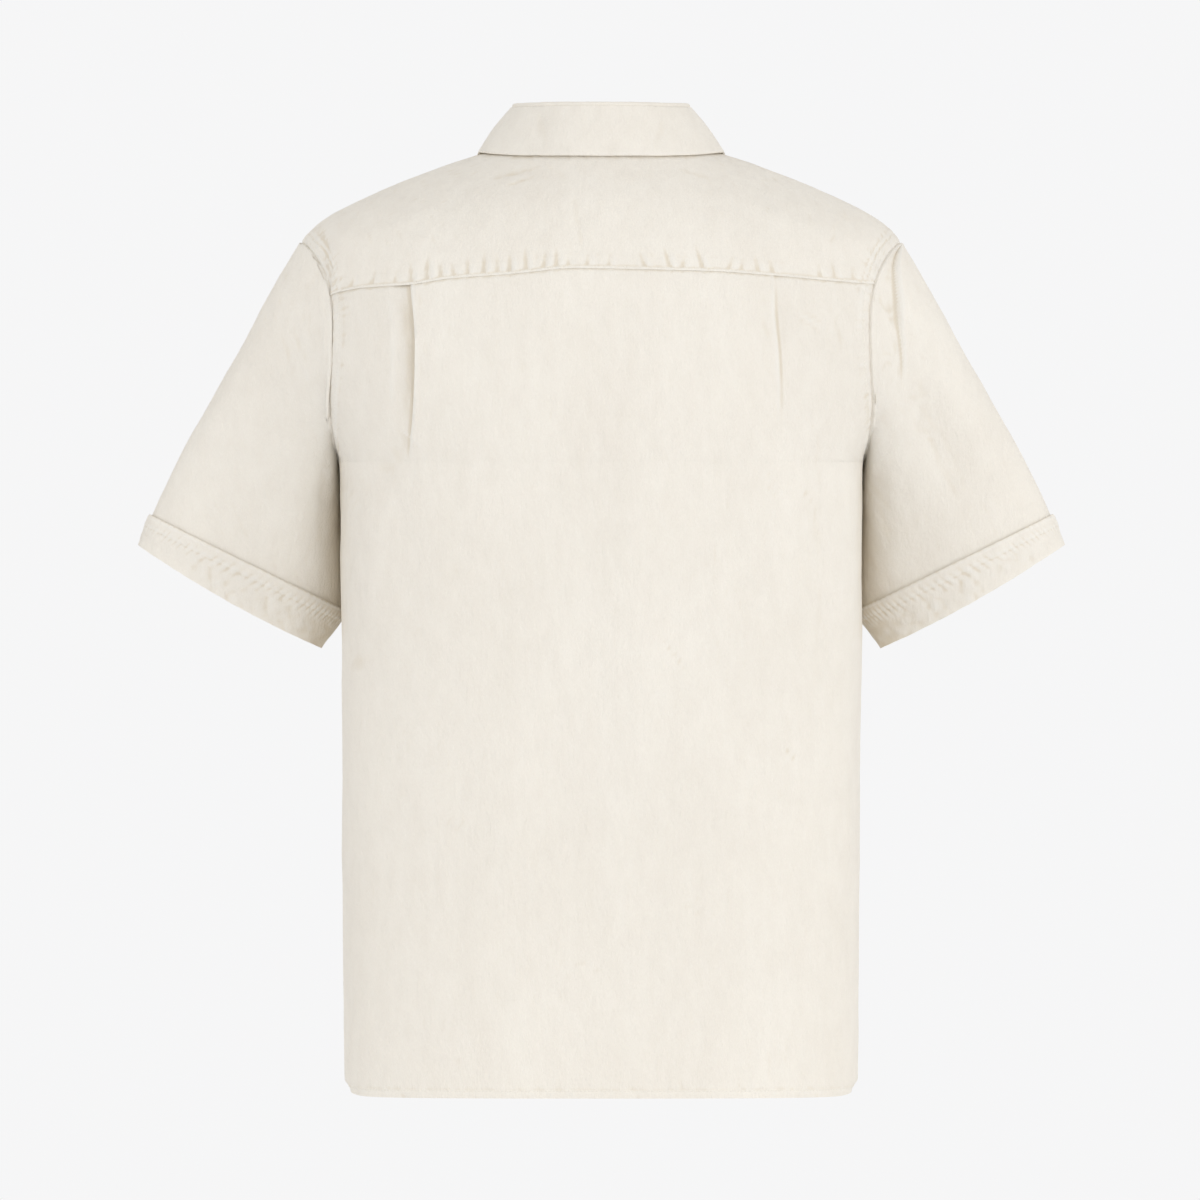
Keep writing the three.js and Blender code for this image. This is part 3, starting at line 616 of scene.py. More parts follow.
edge_gap = math.degrees(SEAM_GAP / 2 / 200)
low_levels = spread((HEM_LEVEL, HEM_LEVEL + 14, 14), (HEM_LEVEL + 14, ARMPIT_LEVEL, 96))[:-1]
arm_shares = spread((0, 0.12, 9), (0.12, 0.9, 56), (0.9, 1, 14))
edges = {}
for side in (-1, 1):
    level, turn = armhole(mix(179.4, CORNERS[side], arm_shares))
    edges[side] = (
        np.concatenate([low_levels, level]),
        np.concatenate([side_turn(low_levels) - edge_gap, turn]),
    )
seam_ends = {side: yoke_seam_level(side * armhole(CORNERS[side])[1]) for side in (-1, 1)}
middle_level = (edges[-1][0] + edges[1][0]) / 2
lip_spots = [np.abs(lip(middle_level)) for lip in LIPS]
pleat_turns = [turn_at_x(middle_level, spot) * side for side, spot in zip((-1, 1), lip_spots)]
near_pleat = spread((0, 0.62, 16), (0.62, 0.93, 14), (0.93, 1, 8))[:-1]
centre = spread((0, 0.03, 5), (0.03, 0.97, 92), (0.97, 1, 5))
turns = np.concatenate([
    mix(-edges[-1][1][:, None], pleat_turns[0][:, None], near_pleat[None, :]),
    mix(pleat_turns[0][:, None], pleat_turns[1][:, None], centre[None, :]),
    mix(edges[1][1][:, None], pleat_turns[1][:, None], near_pleat[None, ::-1]),
], axis=1)
across = (turns + edges[-1][1][:, None]) / (edges[-1][1] + edges[1][1])[:, None]
flat = mix(edges[-1][0][:, None], edges[1][0][:, None], across)
top = mix(seam_ends[-1], seam_ends[1], across)
BLEND_LEVEL = -190
rise = np.clip((flat - BLEND_LEVEL) / (top - BLEND_LEVEL), 0, 1)
levels = flat + rise * (yoke_seam_level(turns) - SEAM_GAP - top)
levels = np.vstack([levels, levels[-1:] + TUCK])
turns = np.vstack([turns, turns[-1:]])
tucked = np.zeros(levels.shape)
tucked[-1] = -TUCK_DEPTH
add_body_cloth("back_cloth", levels, turns, back_height, CLOTH_THICK, tucked)

# %% [markdown]
# The yoke is a horseshoe round the neck. It covers both shoulders and ends in a seam 30 mm in front
# of them. Its lower edge is folded under and stitched close to the fold, so it stands up as a fine
# ridge over the seam, and the puckers start there.

# %% The yoke
NECK_HALF = 78
EDGE_STITCH = 1.9
# How high the collar's edge rises at the sides, and the strength of the painted shadow under it.
COLLAR_RISE, COLLAR_PAINTED_SHADOW = 4.2, 0.45


def front_seam_distance(level, turn):
    """How far a spot lies from the front yoke seam, in millimetres, ahead of it if positive."""
    arm_level, arm_turn = armhole(360 + FRONT_SEAM_ARM)
    share = np.clip((NECK_LEVEL - level) / (NECK_LEVEL - arm_level), 0, 1)
    past = np.abs(turn) - mix(FRONT_SEAM_NECK, arm_turn, share)
    return np.radians(past) * mix(NECK_REACH, ARM_REACH, share)


def folded_edge(away):
    """A folded and edge-stitched seam edge, seen as a height against the distance from it."""
    fold = 0.4 * (1 - smooth((away - 1.2) / 1.4)) + 0.15 * (1 - smooth((away - 8) / 3))
    return fold - 0.25 * np.exp(-(((away - EDGE_STITCH) / 0.6) ** 2))


YOKE_FOLDS = [  # face, from x and z, to x and z, width, height
    ("back", -214, -50, -206, -104, 4, -1.6),
    ("back", -88, -17, -44, -6, 2.6, -0.9),
    ("back", -74, -22, -50, -14, 2.0, -0.6),
    ("back", 84, -16, 58, -8, 2.6, -0.6),
    ("back", -176, -60, -120, -34, 5.0, 0.9),
    ("back", 128, -40, 176, -62, 6.0, 0.9),
    ("back", -20, -30, -14, -74, 5.0, -0.8),
]


def yoke_height(level, turn, points):
    above = np.where(points[..., 1] < 0, level - yoke_seam_level(turn), 60)
    height = 0.8 * crumples(points) + arm_band(level, turn)
    height += np.where(points[..., 1] < 20, yoke_puckers(points[..., 0], above), 0)
    height += folded_edge(above) + folded_edge(-front_seam_distance(level, turn))
    behind = smooth(-points[..., 1] / 12)
    for fold in YOKE_FOLDS:
        height += fold_height(fold, points[..., 0], points[..., 2]) * behind
    return height


print("folds of the yoke:", len(YOKE_FOLDS))

# %% [markdown]
# The yoke's columns start at the neck and fan out to three edges: the left armhole, the back seam and
# the right armhole. Its front seams are its first and last columns, so no column is ever cut short.

# %% Lay out the yoke
def yoke_columns():
    arms = {}
    share = np.linspace(0, 1, 36)
    for side in (-1, 1):
        level, turn = armhole(mix(FRONT_SEAM_ARM + ARM_SEAM_TURN, CORNERS[side], share))
        arms[side] = (side * mix(FRONT_SEAM_NECK - NECK_SEAM_TURN, NECK_HALF, share), side * turn, level)
    inner = np.linspace(0, 1, 271)[1:-1]
    turn = mix(arms[-1][1][-1], arms[1][1][-1], inner)
    seam = (mix(-NECK_HALF, NECK_HALF, inner), turn, yoke_seam_level(turn) + SEAM_GAP / 2)
    return [np.concatenate([arms[-1][k], seam[k], arms[1][k][::-1]]) for k in range(3)]


neck_turn, outer_turn, outer_level = yoke_columns()
share = spread((0, 0.62, 24), (0.62, 0.94, 22), (0.94, 1, 9))[::-1, None]
level = mix(NECK_LEVEL, outer_level[None, :], share)
turn = mix(neck_turn[None, :], outer_turn[None, :], share)
collar_edge = COLLAR_RISE * smooth((np.abs(turn) - 40) / 50)
# Painted shadow on the yoke just under the edge of the collar's fall.
collar_painted_shadow = COLLAR_PAINTED_SHADOW * smooth((level - collar_edge + 1.2) / 2)
add_body_cloth("yoke_cloth", level, turn, yoke_height, CLOTH_THICK, painted_shade=collar_painted_shadow)

# %% [markdown]
# The two fronts are cut alike. Above the armpit a front lies between four curves: the armhole, the
# middle, the front yoke seam with the neckline, and the row at the armpit. Blending the four gives
# every point between them. The left front laps over the right one, which sinks a little under it,
# and the placket is made from the left front's own points, moved out.

# %% The fronts and the placket
LAP = 17
UNDERLAP_DEPTH, UNDERLAP_RAMP = 2.1, 26
PLACKET_THICK = 1.0
EDGE_COLUMNS, LAP_COLUMNS = 76, 16
FRONT_ARM_START = 180.6


def front_turn_at_x(level, x):
    return 180 - np.degrees(np.arctan2(x, RINGS["front"](level)))


def front_turns(level):
    """Turns of a front's columns on one level: even up to the lap, and finer over it."""
    start = side_turn(level) + edge_gap
    even = mix(start, front_turn_at_x(level, LAP), np.linspace(0, 1, EDGE_COLUMNS + 1))
    over = front_turn_at_x(level, np.linspace(LAP, -LAP, LAP_COLUMNS + 1)[1:])
    return np.concatenate([even, over])


def front_grid():
    low = spread((HEM_LEVEL, HEM_LEVEL + 14, 14), (HEM_LEVEL + 14, ARMPIT_LEVEL, 84))[:-1]
    turn = np.array([front_turns(v) for v in low])
    level = np.repeat(low[:, None], turn.shape[1], axis=1)
    start = front_turns(ARMPIT_LEVEL)
    arm_level, arm_turn = armhole(360 + FRONT_SEAM_ARM - ARM_SEAM_TURN)
    to_neck = np.linspace(0, 1, EDGE_COLUMNS // 2 + 1)
    round_neck = np.linspace(0, 1, EDGE_COLUMNS // 2 + 1)[1:]
    lap_turn = front_turn_at_x(NECK_LEVEL, LAP)
    neck_laps = front_turn_at_x(NECK_LEVEL, np.linspace(LAP, -LAP, LAP_COLUMNS + 1)[1:])
    neck_end = FRONT_SEAM_NECK + NECK_SEAM_TURN
    seam_part, neck_part = mix(arm_turn, neck_end, to_neck), mix(neck_end, lap_turn, round_neck)
    top_turn = np.concatenate([seam_part, neck_part, neck_laps])
    level_part = mix(arm_level, NECK_LEVEL, to_neck)
    top_level = np.concatenate([level_part, np.full(len(top_turn) - len(to_neck), NECK_LEVEL)])
    rise = np.linspace(0, 1, 62)[:, None]
    across = np.linspace(0, 1, len(start))[None, :]
    edge = armhole(mix(FRONT_ARM_START, 360 + FRONT_SEAM_ARM - ARM_SEAM_TURN, rise))
    mid_level = mix(ARMPIT_LEVEL, NECK_LEVEL, rise)
    middle = (mid_level, front_turn_at_x(mid_level, -LAP))
    patch = []
    bottom_level = np.full(len(start), ARMPIT_LEVEL)
    for k, (bottom, upper) in enumerate([(bottom_level, top_level), (start, top_turn)]):
        sides = mix(edge[k], middle[k], across)
        ends = mix(bottom[None, :], upper[None, :], rise)
        corners = mix(mix(bottom[0], bottom[-1], across), mix(upper[0], upper[-1], across), rise)
        patch.append(sides + ends - corners)
    return np.concatenate([level, patch[0]]), np.concatenate([turn, patch[1]])


print("columns of a front:", EDGE_COLUMNS + LAP_COLUMNS)

# %% [markdown]
# The fronts share the folds and bands of the back. Beside the yoke seam their relief is weaker, because
# the seam holds them flat. The placket adds two rows of stitches, the roping beside them, and its edges.

# %% Relief of the fronts
def front_height(level, turn, points):
    height = body_folds(points) + crumples(points) + hem_band(level, points) + arm_band(level, turn)
    ahead = np.maximum(front_seam_distance(level, turn), 0)
    near_seam = smooth(1 - ahead / 8) * (level > ARMPIT_LEVEL + 60)
    return height * (1 - 0.5 * near_seam) - 0.2 * near_seam


def under_front_height(level, turn, points):
    sink = UNDERLAP_DEPTH * smooth(1 - (points[..., 0] - LAP) / UNDERLAP_RAMP)
    return front_height(level, turn, points) - sink


STITCH_IN = 6.0


def placket_height(level, turn, points):
    across = np.abs(points[..., 0])
    stitch = np.exp(-(((across - (LAP - STITCH_IN)) / 0.8) ** 2))
    rope = noise(points, (9, 9, 4.5)) * smooth((across - 6) / 6)
    edge = smooth((across - LAP + 1.2) / 1.2)
    return front_height(level, turn, points) - 0.28 * stitch + 0.22 * rope - 0.3 * edge


print("stitches from the edge of the placket:", STITCH_IN)

# %% [markdown]
# Now the grids become cloth. A narrow allowance is added at the side seam and at the yoke, and it is
# tucked under the neighbour, so that no light shows through a seam.

# %% Make the fronts and the placket
level, turn = front_grid()
allowance = np.hstack([turn[:, :1] - TUCK_TURN, turn])
allowance = np.vstack([allowance, allowance[-1:] - TUCK_TURN])
wide_level = np.pad(level, ((0, 1), (1, 0)), mode="edge")
tucked = np.zeros(wide_level.shape)
low_rows = wide_level[:, 0] < ARMPIT_LEVEL
tucked[low_rows, 0] = -TUCK_DEPTH
allowance[~low_rows, 0] = allowance[~low_rows, 1] - 0.02
tucked[-1] = -TUCK_DEPTH
add_body_cloth("front_left_cloth", wide_level, -allowance, front_height, CLOTH_THICK, tucked)
add_body_cloth("front_right_cloth", wide_level, allowance, under_front_height, CLOTH_THICK, tucked)
strip = slice(-LAP_COLUMNS - 1, None)
over = SEAM_GAP + PLACKET_THICK
add_body_cloth("placket_cloth", level[:, strip], -turn[:, strip], placket_height, PLACKET_THICK, over)

# %% [markdown]
# A sleeve is a tube from the armhole's oval to the cuff. Its sections are given by an outer and an
# inner point and a depth. Each is sheared, because the underarm lies forward, beside the body.
# Near the armhole the tube blends into the oval and rolls over the seam as a sleeve head does.

# %% The sleeves
SLEEVE = columns(
    "share outer_x outer_z inner_x inner_z half_depth outer_y inner_y",
    [
        (0.0, 229, -64, 200, -232, 65, 0, 26),
        (0.08, 237.5, -77, 201, -241, 63, 0, 31),
        (0.22, 256, -107, 200.4, -262, 58, 4, 37),
        (0.42, 277, -146, 199.8, -284, 51, 9, 42),
        (0.62, 299, -185, 199.4, -305, 44, 14, 45),
        (0.8, 320, -222, 199.2, -325, 38, 18, 47),
        (1.0, 344.5, -273, 199.5, -345, 31, 21, 48),
        (1.2, 353.5, -296, 217.5, -373, 29, 22, 48),
    ],
)
SLEEVE_EXPONENT = 2.2
SLEEVE_LENGTH, SLEEVE_RADIUS = 210, 62
CAP_LIFT, CAP_END, SLEEVE_BLEND = 3.0, 0.03, 0.3
HEAD_LIFT, HEAD_TURN, HEAD_FADE = 1.8, 40, 50
HEM_BOW, HEM_BOW_SLOPE = 3.2, 0.58
print("a sleeve starts at x", float(SLEEVE["outer_x"](0.0)), "and ends at", float(SLEEVE["outer_x"](1.2)))

# %% [markdown]
# A sleeve hangs from its seam, so its folds run down from there. Long soft ones follow the arm. Beside
# the seam the cloth of the right sleeve drops in under a crisp lip that starts at the shoulder, and it
# is the most marked fold of the shirt after the pleats.

# %% Folds of the sleeves
SLEEVE_FOLDS = [  # side, angle, from and to share, width in degrees, height
    (-1, 62, 0.05, 0.55, 16, -2.6),
    (-1, 84, -0.03, 0.1, 34, -1.8),
    (-1, 105, 0.25, 0.95, 18, 2.0),
    (1, 76, 0.04, 0.9, 15, -4.4),
    (1, 46, 0.1, 1.0, 15, 2.6),
    (-1, 285, 0.1, 0.7, 18, -2.2),
    (1, 280, 0.1, 0.7, 18, -2.2),
    (-1, 44, 0.0, 0.2, 7, -1.4),
    (-1, 84, 0.02, 0.3, 7, 0.9),
    (-1, 128, 0.1, 0.7, 9, -1.2),
    (-1, 30, 0.35, 0.9, 10, 0.9),
    (1, 60, 0.0, 0.3, 6, -1.6),
    (1, 98, 0.05, 0.5, 8, 1.0),
    (1, 126, 0.15, 0.8, 9, -1.0),
    (1, 30, 0.2, 0.8, 9, 0.8),
]


HEAD_FOLDS = [  # side, from and to angle, share at both ends, width in mm, height
    (1, -12, 88, 0.030, 0.262, 30.0, -4.2),
    (1, 14, 100, 0.120, 0.330, 12.0, 1.0),
    (-1, 2, 130, 0.034, 0.054, 3.0, -2.6),
    (-1, 50, 150, 0.054, 0.074, 5.0, 0.8),
]
HEAD_LIP, HEAD_CLEAR = 3.8, 24
print("folds of the sleeves:", len(SLEEVE_FOLDS) + len(HEAD_FOLDS))

# %% [markdown]
# The tube's section is a rounded oval, a superellipse, as a sleeve's is when it hangs. It could be
# lofted between curves, but then its start wouldn't follow the armhole, which is why the first third
# is blended from the armhole's own points.

# %% The form of a sleeve
def curl(v):
    return np.sign(v) * np.abs(v) ** (2 / SLEEVE_EXPONENT)


def sleeve_surface(side, share, angle):
    share, angle = np.broadcast_arrays(np.asarray(share, float), np.asarray(angle, float))
    at = {name: column(share) for name, column in SLEEVE.items()}
    t = (1 + curl(np.cos(np.radians(angle)))) / 2
    y = mix(at["inner_y"], at["outer_y"], t) - at["half_depth"] * curl(np.sin(np.radians(angle)))
    bow = 4 * t * (1 - t) * HEM_BOW * smooth((share - 1) / 0.2)
    across = mix(at["inner_x"], at["outer_x"], t) + bow * HEM_BOW_SLOPE
    section = np.stack([side * across, y, mix(at["inner_z"], at["outer_z"], t) - bow], axis=-1)
    level, turn = armhole(angle, mix(-TUCK, SEAM_GAP, smooth(share / 0.01)))
    at_side = smooth((np.abs(angle - 180) - HEAD_TURN) / HEAD_FADE)
    rise = smooth((share - 0.006) / CAP_END)
    lift = mix(-TUCK_DEPTH - 0.1, mix(CAP_LIFT, HEAD_LIFT, at_side), rise)[..., None]
    start = body_surface(level, side * turn) + body_normal(level, side * turn) * lift
    return mix(start, section, smooth(share / SLEEVE_BLEND)[..., None])


def sleeve_normal(side, share, angle):
    step = 0.004
    low, high = np.maximum(0, share - step), np.minimum(1.2, share + step)
    down = sleeve_surface(side, high, angle) - sleeve_surface(side, low, angle)
    around = sleeve_surface(side, share, angle + 0.5) - sleeve_surface(side, share, angle - 0.5)
    return unit(np.cross(around, down)) * side


def sleeve_folds(side, share, angle):
    height = np.zeros(np.broadcast(share, angle).shape)
    for fold_side, place, start, end, width, amount in SLEEVE_FOLDS:
        if fold_side == side:
            fade = np.sin(np.pi * np.clip((share - start) / (end - start), 0, 1))
            height += amount * fade * np.exp(-(((angle - place) / width) ** 2))
    for fold_side, start, end, first, last, width, amount in HEAD_FOLDS:
        if fold_side == side:
            along = (angle - start) / (end - start)
            fade = smooth(2.6 * along) * smooth(2.6 * (1 - along))
            inward = (mix(first, last, along) - share) * SLEEVE_LENGTH
            valley = smooth(inward / HEAD_LIP) * (1 - smooth((inward - HEAD_LIP) / width))
            valley = valley * smooth(share * SLEEVE_LENGTH / HEAD_CLEAR)
            height += amount * fade * (valley if amount < 0 else np.exp(-((inward / width) ** 2)))
    return height


print("a sleeve is measured along", SLEEVE_LENGTH, "mm")

# %% [markdown]
# Both sleeves come from one function, mirrored, with folds of their own. Rows are closest beside the
# seam, where the head folds lie. The inner side, which hangs beside the body, gets a lower number,
# which paints shade on it.

# %% Make the sleeves
def sleeve_points(side, share, angle, height):
    smooth_points = sleeve_surface(side, share, angle)
    lift = sleeve_folds(side, share, angle) + height(share, angle, smooth_points)
    return smooth_points + sleeve_normal(side, share, angle) * lift[..., None]


def sleeve_height(share, angle, points):
    head = smooth(1 - share / 0.06)
    round_it = np.radians(angle) * 80
    spots = np.stack(np.broadcast_arrays(round_it, 0.0, share * 200), axis=-1)
    return 1.1 * crumples(points) + 0.45 * head * noise(spots, (6, 9, 12))


def add_sleeve_cloth(kind, share, angle, height, thick):
    """A tube of cloth for each sleeve."""
    share, angle = np.broadcast_arrays(share, angle)
    turn_step = math.degrees(PAINTED_LIGHT_REACH / SLEEVE_RADIUS)
    for side, word in ((-1, "left"), (1, "right")):
        order = slice(None, None, -1) if side > 0 else slice(None)

        def on_sleeve(at_share, at_angle):
            points = sleeve_surface(side, at_share, at_angle)
            return height(at_share, at_angle, points) + sleeve_folds(side, at_share, at_angle)

        # Painted shade on the inner side, which hangs beside the body.
        sleeve_shade_mask = smooth((share - 0.12) / 0.25) * np.exp(-(((angle - 168) / 30) ** 2))
        painted_light_value = wear(on_sleeve, share, angle, PAINTED_LIGHT_REACH / SLEEVE_LENGTH, turn_step)
        painted_light_value = painted_light_value - PAINTED_SHADE_BESIDE_BODY * sleeve_shade_mask
        points = sleeve_points(side, share, angle, height)
        add_cloth(f"{kind}_{word}_cloth", points[:, order], thick, painted_light_value[:, order], closed=True)


angles = np.linspace(0, 360, 217)[:-1][None, :]
sleeve_shares = spread((0, 0.05, 20), (0.05, 0.27, 54), (0.27, 1.19, 78))[:, None]
add_sleeve_cloth("sleeve", sleeve_shares, angles, sleeve_height, CLOTH_THICK)

# %% [markdown]
# The cuff is the hem of the sleeve, turned up outside and held by a row of stitches 10 mm below its
# top. The strip above that row stands up as a welt, and it is roped by the thread.

# %% The cuffs
CUFF_TOP, CUFF_BOTTOM, CUFF_THICK = 1.0, 1.2, 1.4
WELT_SHARE = 0.3
ROPE_PITCH = 4.2


def cuff_height(share, angle, points):
    row = (share - CUFF_TOP) / (CUFF_BOTTOM - CUFF_TOP)
    welt = 0.5 * (1 - smooth((row - WELT_SHARE + 0.03) / 0.09))
    stitch = np.exp(-(((row - WELT_SHARE) / 0.03) ** 2))
    round_it, down = np.broadcast_arrays(np.radians(angle) * 55, row * 30)
    slanted = np.stack([round_it + 0.7 * down, 0 * down, down - 0.7 * round_it], axis=-1)
    near = np.exp(-(((row - WELT_SHARE) / 0.15) ** 2)) + 0.4 * np.exp(-((row / 0.07) ** 2))
    drawn = (round_it + 0.35 * down) * 2 * np.pi / ROPE_PITCH + 2.6 * noise(slanted + 40, (17, 9, 30))
    twist = np.sin(drawn) * (0.6 + 0.4 * noise(slanted + 70, (12, 9, 20)))
    rope = 0.6 * twist + 0.6 * noise(slanted, (4.2, 9, 10))
    soft = 0.9 * crumples(points) + 0.5 * noise(points, (6, 6, 6)) * smooth((row - WELT_SHARE) / 0.2)
    edge = 0.7 * (1 - smooth(row / 0.05))
    return SEAM_GAP + CUFF_THICK + welt - edge - 0.3 * stitch + 0.46 * rope * near + soft


cuff_angles = np.linspace(0, 360, 421)[:-1][None, :]
cuff_shares = mix(CUFF_TOP, CUFF_BOTTOM, spread((0, 0.42, 22), (0.42, 1, 16)))[:, None]
add_sleeve_cloth("cuff", cuff_shares, cuff_angles, cuff_height, CUFF_THICK)

# %% [markdown]
# The collar has two pieces. The stand goes once round the neck and laps at the front as the fronts
# do. The fall is sewn to the top of the stand, rolls over it, and lies outside it down to its edge,
# which rests just above the yoke. It is two layers with a pressed edge, so it is thicker.

# %% The collar
STAND_TOP, STAND_HALF, STAND_BACK, STAND_FRONT, STAND_DROP, STAND_LIFT = 41, 65, 56, 68, 82, 1.15
FALL = columns(
    "share top_turn turn level",
    [(0, 0, 0, 0), (0.28, 48, 48, 0.8), (0.52, 88, 88, 4.2), (0.76, 136, 120, -8), (1, 176, 145, -32)],
)
ROLL_RISE, ROLL_OUT, ROLL_ROWS, ROLL_RADIUS, ROLL_START, ROLL_ANGLE = 1.8, 3.2, 0.12, 2.1, 104, 128
FALL_BULGE, FALL_CLEAR, FALL_SOLID = 0.6, 0.9, 1.5


def stand_points(turn, height, out):
    base = body_surface(NECK_LEVEL, turn) + np.array([0, 0, STAND_LIFT])
    top = oval(turn, STAND_HALF, STAND_BACK, STAND_FRONT, 2, STAND_TOP, STAND_DROP)
    point = mix(base, top, np.expand_dims(height, -1))
    outward = unit(point * np.array([1, 0.9, 0]))
    return point + outward * np.expand_dims(out, -1)


def stand_out(turn, height):
    """Height of the stand's relief: its crumples, two rows of stitches, and the sunk end under the lap."""
    edge = np.exp(-(((height - 0.09) / 0.03) ** 2)) + np.exp(-(((height - 0.91) / 0.03) ** 2))
    points = stand_points(turn, height, np.zeros(np.shape(turn)))
    return 0.35 * crumples(points) - 0.2 * edge - UNDERLAP_DEPTH * smooth((turn - 135) / 25)


print("height of the stand at the back:", STAND_TOP - NECK_LEVEL)

# %% [markdown]
# The stand is a plain band, so its grid goes straight round: 181 columns from lap to lap and 19 rows.

# %% Make the stand
def add_stand():
    lap_turn = math.degrees(math.atan2(LAP, 72))
    turns = np.linspace(-180 - lap_turn, 180 + lap_turn, 181)[None, :]
    turn, height = np.broadcast_arrays(turns, np.linspace(0, 1, 19)[:, None])
    painted_light_value = wear(stand_out, turn, height, 2.0, 0.07)
    add_cloth("collar_stand_cloth", stand_points(turn, height, stand_out(turn, height)), CLOTH_THICK, painted_light_value)


add_stand()

# %% [markdown]
# The fall's section is an arc over the top of the stand and then a slope to its edge. Bending a flat
# strip over the stand would stretch it, while this way its width stays even. Two soft dents lie where it
# bends round the sides of the neck, as the collar of a filled-out shirt has.

# %% The fall of the collar
DENT_SLANT = 0.09
FALL_DENTS = [  # share, row, width in share, width in rows, height
    (-0.245, 0.5, 0.036, 0.34, -1.7),
    (0.235, 0.6, 0.036, 0.34, -1.6),
    (-0.1, 0.5, 0.12, 0.4, 0.5),
    (0.08, 0.6, 0.10, 0.4, -0.4),
    (0.55, 0.5, 0.05, 0.4, 0.8),
    (-0.55, 0.5, 0.05, 0.4, 0.8),
]


def fall_points(share, row, out):
    """Points of the fall: row is 0 over the stand, then rolls over, and is 1 at the edge."""
    side = np.where(share < 0, -1.0, 1.0)
    at = {name: column(np.abs(share)) for name, column in FALL.items()}
    top = stand_points(side * at["top_turn"], np.ones(share.shape), np.zeros(share.shape))
    edge_turn = side * at["turn"]
    lift = FALL_SOLID + np.expand_dims(FALL_CLEAR * (1 - 0.7 * smooth((np.abs(share) - 0.12) / 0.3)), -1)
    edge = body_surface(at["level"], edge_turn) + body_normal(at["level"], edge_turn) * lift
    away = unit((edge - top * 0.5) * np.array([1, 1, 0]))
    up = np.array([0.0, 0.0, 1.0])
    roll_end = top + away * ROLL_OUT + up * (ROLL_RISE - 1.4)
    turned = np.clip(row / ROLL_ROWS, 0, 1)[..., None] * ROLL_ANGLE
    centre = top + away * (ROLL_OUT - ROLL_RADIUS) + up * (ROLL_RISE - 1.75)
    tilt = np.radians(ROLL_START - turned)
    rolled = centre + ROLL_RADIUS * (away * np.cos(tilt) + up * np.sin(tilt))
    t = np.clip((row - ROLL_ROWS) / (1 - ROLL_ROWS), 0, 1)[..., None]
    around = np.stack([-away[..., 1], away[..., 0], 0 * away[..., 0]], axis=-1)
    normal = unit(np.cross(around, edge - roll_end))
    facing = np.where(np.sum(normal * away, axis=-1, keepdims=True) < 0, -1, 1)
    hung = mix(roll_end, edge, t) + normal * facing * (FALL_BULGE * np.sin(np.pi * t))
    past = (row > ROLL_ROWS)[..., None]
    point = np.where(past, hung, rolled)
    outward = unit(np.where(past, normal * facing, rolled - centre))
    return point + outward * out[..., None]


def fall_out(share, row):
    """Height of the fall's relief: crumples, the pressed edge with its soft roping, and dents."""
    points = fall_points(share, row, np.zeros(share.shape))
    spots = np.stack([share * 250, 0 * share, row * 30], axis=-1)
    rope = noise(spots, (7, 9, 8)) * smooth((row - 0.76) / 0.12)
    fold = 0.4 * smooth((row - 0.97) / 0.03)
    out = 0.6 * crumples(points) + 0.16 * rope - fold
    for place, height, wide, tall, amount in FALL_DENTS:
        slanted = share - place + DENT_SLANT * np.sign(place) * (row - height)
        out = out + amount * np.exp(-((slanted / wide) ** 2) - ((row - height) / tall) ** 2)
    return out


def add_fall():
    shares = np.linspace(-1, 1, 281)[None, :]
    rows = spread((0, ROLL_ROWS, 9), (ROLL_ROWS, 0.8, 22), (0.8, 1, 14))[::-1, None]
    share, row = np.broadcast_arrays(shares, rows)
    painted_light_value = wear(fall_out, share, row, PAINTED_LIGHT_REACH / 240, 0.04)
    add_cloth("collar_fall_cloth", fall_points(share, row, fall_out(share, row)), LINED_THICK, painted_light_value)


add_fall()

# %% [markdown]
# Most of what marks a sewn thing is its thread. A stitch is a short slim capsule with few faces:
# one is modelled, and it is laid end to end along each seam, with a small gap where the needle
# went down. Each seam's stitches are joined into one piece.

# %% Stitches along the seams
STITCH_PITCH, STITCH_LENGTH, STITCH_RADIUS = 3.0, 2.3, 0.24
ARM_STITCH_OUT = 7
HOLE_HALF, HOLE_WIDE, HOLE_PITCH = 7.0, 1.1, 1.1
BUTTON_FIRST, BUTTON_PITCH, FRONT_BUTTONS = -138, 88, 6


def stitch_shape():
    """One stitch along +X, lying on its XY plane: two rings of six and two tips."""
    ring = [(math.cos(a), math.sin(a)) for a in np.arange(6) * math.pi / 3]
    half = STITCH_LENGTH / 2
    points = [(-half, 0, 0)]
    points += [(-half * 0.62, STITCH_RADIUS * c, STITCH_RADIUS * s) for c, s in ring]
    points += [(half * 0.62, STITCH_RADIUS * c, STITCH_RADIUS * s) for c, s in ring]
    points += [(half, 0, 0)]
    faces = []
    for k in range(6):
        n = (k + 1) % 6
        faces += [(0, 1 + n, 1 + k), (1 + k, 1 + n, 7 + n, 7 + k), (13, 7 + k, 7 + n)]
    return np.array(points), faces


print("faces of a stitch:", len(stitch_shape()[1]))

# %% [markdown]
# A row of stitches follows a line of points that lies on the finished relief. Each stitch is the same
# little mesh, turned to the line and to the cloth, and a row is one object, which keeps the file light.

